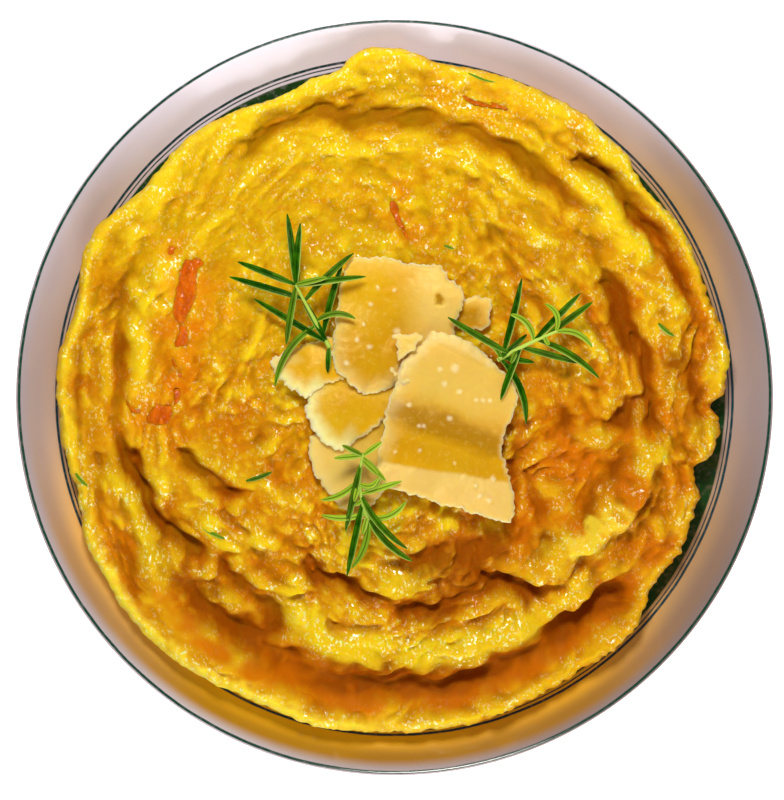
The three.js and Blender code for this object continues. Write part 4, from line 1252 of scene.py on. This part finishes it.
def cheese_material():
    material, nodes = new_material("Shaved hard cheese")
    where = nodes.millimetres()
    grain = add_group(nodes, GRAIN, where, 1.1)
    clouds = nodes.ramp(nodes.noise(where, 14, 3), 0.36, 0.66)
    colour = nodes.blend(clouds, CHEESE["gold"], CHEESE["pale gold"])
    # Deeper gold, and painted shade in the band and the holes.
    colour = nodes.blend(nodes.mask("deep"), colour, CHEESE["deep"])
    colour = nodes.blend(nodes.mask("peachy"), colour, CHEESE["peachy"])
    flakes = nodes.ramp(nodes.noise(where, 2.2, 5, 0.68), 0.52, 0.66)
    colour = nodes.blend(nodes.math("MULTIPLY", flakes, 0.16), colour, CHEESE["flakes"])
    colour = nodes.blend(nodes.share("edge", 0.5), colour, CHEESE["edge"])
    # Painted glow on the edges.
    colour = nodes.blend(nodes.mask("glow"), colour, CHEESE["glow"])
    # A thin painted highlight along the broken edge, uneven.
    uneven = nodes.ramp(nodes.noise(where, 2.5, 2), 0.4, 0.6, 0.2, 0.9)
    colour = nodes.blend(nodes.share("brim", uneven), colour, CHEESE["brim"])
    colour = nodes.blend(nodes.share("crumbly", 0.6), colour, CHEESE["crumbly"])
    colour = nodes.blend(nodes.share("crystal", 0.6), colour, CHEESE["crystal"])
    finish_material(
        nodes, Base_Color=colour, Roughness=0.34, Normal=nodes.bump(grain, 0.09), Specular_IOR_Level=0.25,
        Specular_Tint=(1, 0.85, 0.4), Subsurface_Weight=0.85, Subsurface_Radius=(0.8, 0.6, 0.14),
        Subsurface_Scale=0.005,
    )
    return material


def make_shavings(material):
    """The six shavings, each bent over those below it."""
    for seed, (name, shaving) in enumerate(SHAVINGS.items()):
        rim = broken_rim(shaving["outline"], CHEESE_RIM_STEP, shaving["crumbs"], 50 + 3 * seed)

        def under(x, y, name=name):
            return cheese_underside(name, x, y)

        def upper(x, y, inset, name=name, seed=seed):
            waves = 0.22 * flat_ripple(x, y, 8, 60 + seed) + 0.1 * flat_ripple(x, y, 2.2, 61)
            flakes = 0.6 * flat_ripple(x, y, 2.2, 62) + 0.4 * flat_ripple(x, y, 1, 63)
            crystals = 0.25 * spots(CRYSTALS, x, y) - 0.9 * spots(CHEESE_HOLES.get(name, []), x, y)
            worn = 0.75 * (1 - ease(0, 1.3, inset))
            flaking = spots(CRUMBLY, x, y) * flakes
            return under(x, y, name) + CHEESE_THICKNESS + waves + crystals + flaking - worn

        points, faces, inset = make_sheet(rim, CHEESE_STEP, upper, under)
        x, y = points[:, 0], points[:, 1]
        # A thin painted highlight runs along the broken edge.
        piece = make_piece(
            name.replace("shaving", "flake"), points, faces, material, edge=1 - ease(0, 1.6, inset),
            brim=1 - ease(0, 0.5, inset), crystal=spots(CRYSTALS, x, y, 1.2), crumbly=spots(CRUMBLY, x, y),
            **cheese_tones(name, points, inset),
        )
        add_to_dish(piece, name)


def make_crumbs(material):
    """Flat crumbs, each level with the highest thing below its corners."""
    sheets = []
    for seed, outline in enumerate(CRUMBS):
        corners = np.array(outline, float).T
        level = rest_height(*corners).max() + CRUMB_CLEARANCE

        def under(x, y, level=level):
            return np.full_like(x, level)

        def upper(x, y, inset, seed=seed, level=level):
            return level + 0.35 + 0.4 * ease(0, 1, inset) + 0.25 * flat_ripple(x, y, 1.6, 80 + seed)

        rim = broken_rim(outline, CRUMB_RIM_STEP, CRUMB_EDGE, 85 + 2 * seed)
        sheets.append(make_sheet(rim, CRUMB_STEP, upper, under))
    points, faces, inset = join_sheets(sheets)
    # The crumbs have a fainter painted highlight along their edges.
    crumbs = make_piece(
        "cheese_crumbs", points, faces, material, edge=1 - ease(0, 1.6, inset),
        brim=0.5 - 0.5 * ease(0, 0.5, inset), peachy=np.full(len(inset), 0.9),
    )
    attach(crumbs, "root")


def make_cheese():
    material = cheese_material()
    make_shavings(material)
    make_crumbs(material)


# ---- Rosemary ----
def rest_height(x, y):
    """Height of whatever lies highest at each point."""
    z = egg_top(x, y)
    for name, shaving in SHAVINGS.items():
        covered = distance_to(shaving["outline"], x, y) < NEEDLE_WIDTH
        z = np.where(covered, np.maximum(z, cheese_underside(name, x, y) + CHEESE_THICKNESS), z)
    return z


def crossways(line):
    """Sideways and upwards at each point of a line."""
    heading = np.gradient(line, axis=0)
    heading /= np.linalg.norm(heading, axis=1)[:, None]
    side = np.cross(heading, [0, 0, 1])
    side /= np.linalg.norm(side, axis=1)[:, None]
    return side, np.cross(side, heading)


class Bunch:
    """Stems and needles gathered into one mesh."""

    def __init__(self):
        self.points = []
        self.faces = []
        self.masks = {"margin": [], "groove": [], "young": [], "under": []}
        self.size = 0

    def add_rings(self, rings, **masks):
        """Closed loops of points along something long, with its ends closed."""
        steps, turns = rings.shape[:2]
        loops = self.size + np.arange(steps * turns).reshape(steps, turns)
        for near, far in zip(loops, loops[1:]):
            self.faces.extend(band(far, near))
        self.faces.append(loops[0].tolist())
        self.faces.append(loops[-1][::-1].tolist())
        self.points.append(rings.reshape(-1, 3))
        for name, values in masks.items():
            self.masks[name].append(np.broadcast_to(values, (steps, turns)).ravel())
        self.size += steps * turns

    def add_blade(self, line, width, roll, young, depth=1):
        """One needle along a line of points, scaled in depth, its pale edge on the side towards -Y."""
        side, lift = crossways(line)
        turn = math.radians(roll)
        tilted = math.cos(turn) * side + math.sin(turn) * lift
        raised = math.cos(turn) * lift - math.sin(turn) * side
        half = width / 2 * np.interp(np.linspace(0, 1, len(line)), *np.array(NEEDLE_TAPER).T)
        across, above = np.array(NEEDLE_SECTION).T
        swell = across[None, :, None] * tilted[:, None] + depth * above[None, :, None] * raised[:, None]
        rings = line[:, None] + half[:, None, None] * swell
        outer = across * np.sign(-side[:, 1]).mean()
        self.add_rings(
            rings, margin=ease(0.62, 0.97, outer), groove=1 - ease(0.05, 0.3, np.abs(across)),
            young=young, under=above < -0.05,
        )

    def add_stem(self, line, young):
        """A round stem along a line of points."""
        side, lift = crossways(line)
        turns = np.radians(np.arange(STEM_SIDES) * 360 / STEM_SIDES)[None, :, None]
        girth = np.linspace(*STEM_GIRTH, len(line))[:, None, None]
        rings = line[:, None] + girth * (np.cos(turns) * side[:, None] + np.sin(turns) * lift[:, None])
        self.add_rings(rings, margin=0.7 * young, groove=0, young=young, under=0)

    def make(self, name, material):
        masks = {mask: np.concatenate(parts) for mask, parts in self.masks.items()}
        return make_piece(name, np.concatenate(self.points), self.faces, material, **masks)


def bowed_line(start, end, bow, arch, clearance, rings=NEEDLE_RINGS):
    """Points of a curve that bows sideways and arches up, kept clear of what lies below it."""
    dx, dy = end[0] - start[0], end[1] - start[1]
    middle = (start + end) / 2 + np.array([bow * dy, -bow * dx, arch * math.hypot(dx, dy)])
    t = np.linspace(0, 1, rings)[:, None]
    line = (1 - t) ** 2 * start + 2 * t * (1 - t) * middle + t**2 * end
    lifted = np.maximum(0, rest_height(line[:, 0], line[:, 1]) + clearance - line[:, 2])
    for _ in range(2):
        padded = np.concatenate([lifted[:1], lifted, lifted[-1:]])
        lifted = np.maximum(lifted, (padded[:-2] + padded[1:-1] + padded[2:]) / 3)
    line[:, 2] += lifted
    return line


def leaf_material():
    material, nodes = new_material("Rosemary leaf")
    where = nodes.millimetres()
    clouds = nodes.ramp(nodes.noise(where, 5, 3), 0.36, 0.64)
    colour = nodes.blend(clouds, LEAF["dark"], LEAF["green"])
    colour = nodes.blend(nodes.mask("young"), colour, LEAF["young"])
    # Painted shade along the groove.
    colour = nodes.blend(nodes.share("groove", 0.7), colour, LEAF["groove"])
    colour = nodes.blend(nodes.share("margin", 0.85), colour, LEAF["margin"])
    colour = nodes.blend(nodes.mask("under"), colour, LEAF["underside"])
    normal = nodes.bump(nodes.noise(where, 0.7, 3, 0.6), 0.12)
    finish_material(
        nodes, Base_Color=colour, Roughness=0.2, Normal=normal, Specular_IOR_Level=0.1,
        Specular_Tint=(0.85, 1, 0.3), Subsurface_Weight=0.12, Subsurface_Radius=(0.4, 1, 0.1),
        Subsurface_Scale=0.001,
    )
    return material


def make_rosemary(material):
    for name, foot, tip, bow, needles in SPRIGS:
        bunch = Bunch()
        ends = [np.array([x, y, CROWN_Z + z]) for x, y, z in (foot, tip)]
        stem = bowed_line(*ends, bow, 0, NEEDLE_CLEARANCE, STEM_RINGS)
        bunch.add_stem(stem, STEM_YOUTH[name])
        for share, direction, length, height, needle_bow, young in needles:
            start = np.array([np.interp(share, np.linspace(0, 1, STEM_RINGS), axis) for axis in stem.T])
            dx, dy = place(direction, length)
            end = np.array([start[0] + dx, start[1] + dy, 0])
            level = rest_height(end[:1], end[1:2])[0] + NEEDLE_CLEARANCE
            end[2] = max(CROWN_Z + height, level)
            line = bowed_line(start, end, needle_bow, NEEDLE_ARCH, NEEDLE_CLEARANCE)
            width = NEEDLE_WIDTH * min(1, 0.62 + length / 50)
            bunch.add_blade(line, width, DICE.uniform(-NEEDLE_ROLL, NEEDLE_ROLL), young)
        add_to_dish(bunch.make(name.replace("sprig", "twig"), material), name)


def make_bits(material):
    """Needles that lie loose on the egg or are baked into it."""
    for name, needles, clearance, depth, young in LOOSE_BITS:
        bunch = Bunch()
        for start, end, width in needles:
            ends = [np.array([*start, 0]), np.array([*end, 0])]
            line = bowed_line(*ends, LOOSE_BOW, 0, clearance, LOOSE_RINGS)
            bunch.add_blade(line, width, DICE.uniform(-LOOSE_ROLL, LOOSE_ROLL), young, depth)
        piece = bunch.make(name, material)
        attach(piece, "root")


make_plate()
make_frittata()
make_slices()
make_cheese()
leaf = leaf_material()
make_rosemary(leaf)
make_bits(leaf)


# ---- Studio ----
FLOOR_HALF = 900
FLOOR_Z = -0.3
# Lights: direction and elevation that they come from, distance and size in metres, watts, and colour.
LIGHTS = {
    "Key": [352, 57, 0.62, 0.18, 3.15, (1, 0.96, 0.9)],
    "Fill": [170, 30, 0.8, 0.6, 4.5, (1, 0.97, 0.96)],
}
LIT_PLACE = (0, 0, 0.02)
ROOM_LIGHT = (1, 0.95, 0.92)
ROOM_STRENGTH = 0.17
CAMERA_PLACE = (-0.0009, -0.0011, 0.695)
CAMERA_LENS = 85
CAMERA_SENSOR = 36


def make_floor():
    material, nodes = new_material("Pale studio floor")
    finish_material(
        nodes, Base_Color=(0.9, 0.9, 0.9), Roughness=0.8, Emission_Color=(1, 1, 1), Emission_Strength=0.75,
    )
    corners = [[FLOOR_HALF * x, FLOOR_HALF * y, FLOOR_Z] for x, y in ((-1, -1), (1, -1), (1, 1), (-1, 1))]
    floor = make_piece("studio_floor", corners, [[0, 1, 2, 3]], material)


def aim(thing, where, target):
    """Puts a light at a place, in metres, facing the target."""
    away = np.subtract(target, where)
    flat = math.hypot(away[0], away[1])
    thing.location = where
    thing.rotation_euler = (math.atan2(flat, -away[2]), 0, math.atan2(-away[0], away[1]))


def add_light(name, direction, elevation, distance, size, watts, colour):
    """A soft round lamp."""
    light = bpy.data.lights.new(name, "AREA")
    light.shape = "DISK"
    light.size = size
    light.energy = watts
    light.color = colour
    lamp = bpy.data.objects.new(name, light)
    bpy.context.scene.collection.objects.link(lamp)
    tilt = math.radians(elevation)
    aim(lamp, (*place(direction, distance * math.cos(tilt)), distance * math.sin(tilt)), LIT_PLACE)


def make_room():
    """Even light from all round."""
    world = bpy.data.worlds.new("Studio")
    world.use_nodes = True
    background = world.node_tree.nodes["Background"].inputs
    background["Color"].default_value = (*ROOM_LIGHT, 1)
    background["Strength"].default_value = ROOM_STRENGTH
    bpy.context.scene.world = world


def make_camera():
    """A camera that looks straight down."""
    camera = bpy.data.cameras.new("Camera")
    camera.lens = CAMERA_LENS
    camera.sensor_width = CAMERA_SENSOR
    eye = bpy.data.objects.new("Camera", camera)
    bpy.context.scene.collection.objects.link(eye)
    eye.location = CAMERA_PLACE
    bpy.context.scene.camera = eye


make_floor()
for name, lamp in LIGHTS.items():
    add_light(name, *lamp)
make_room()
make_camera()
bpy.context.scene.view_settings.view_transform = "Standard"
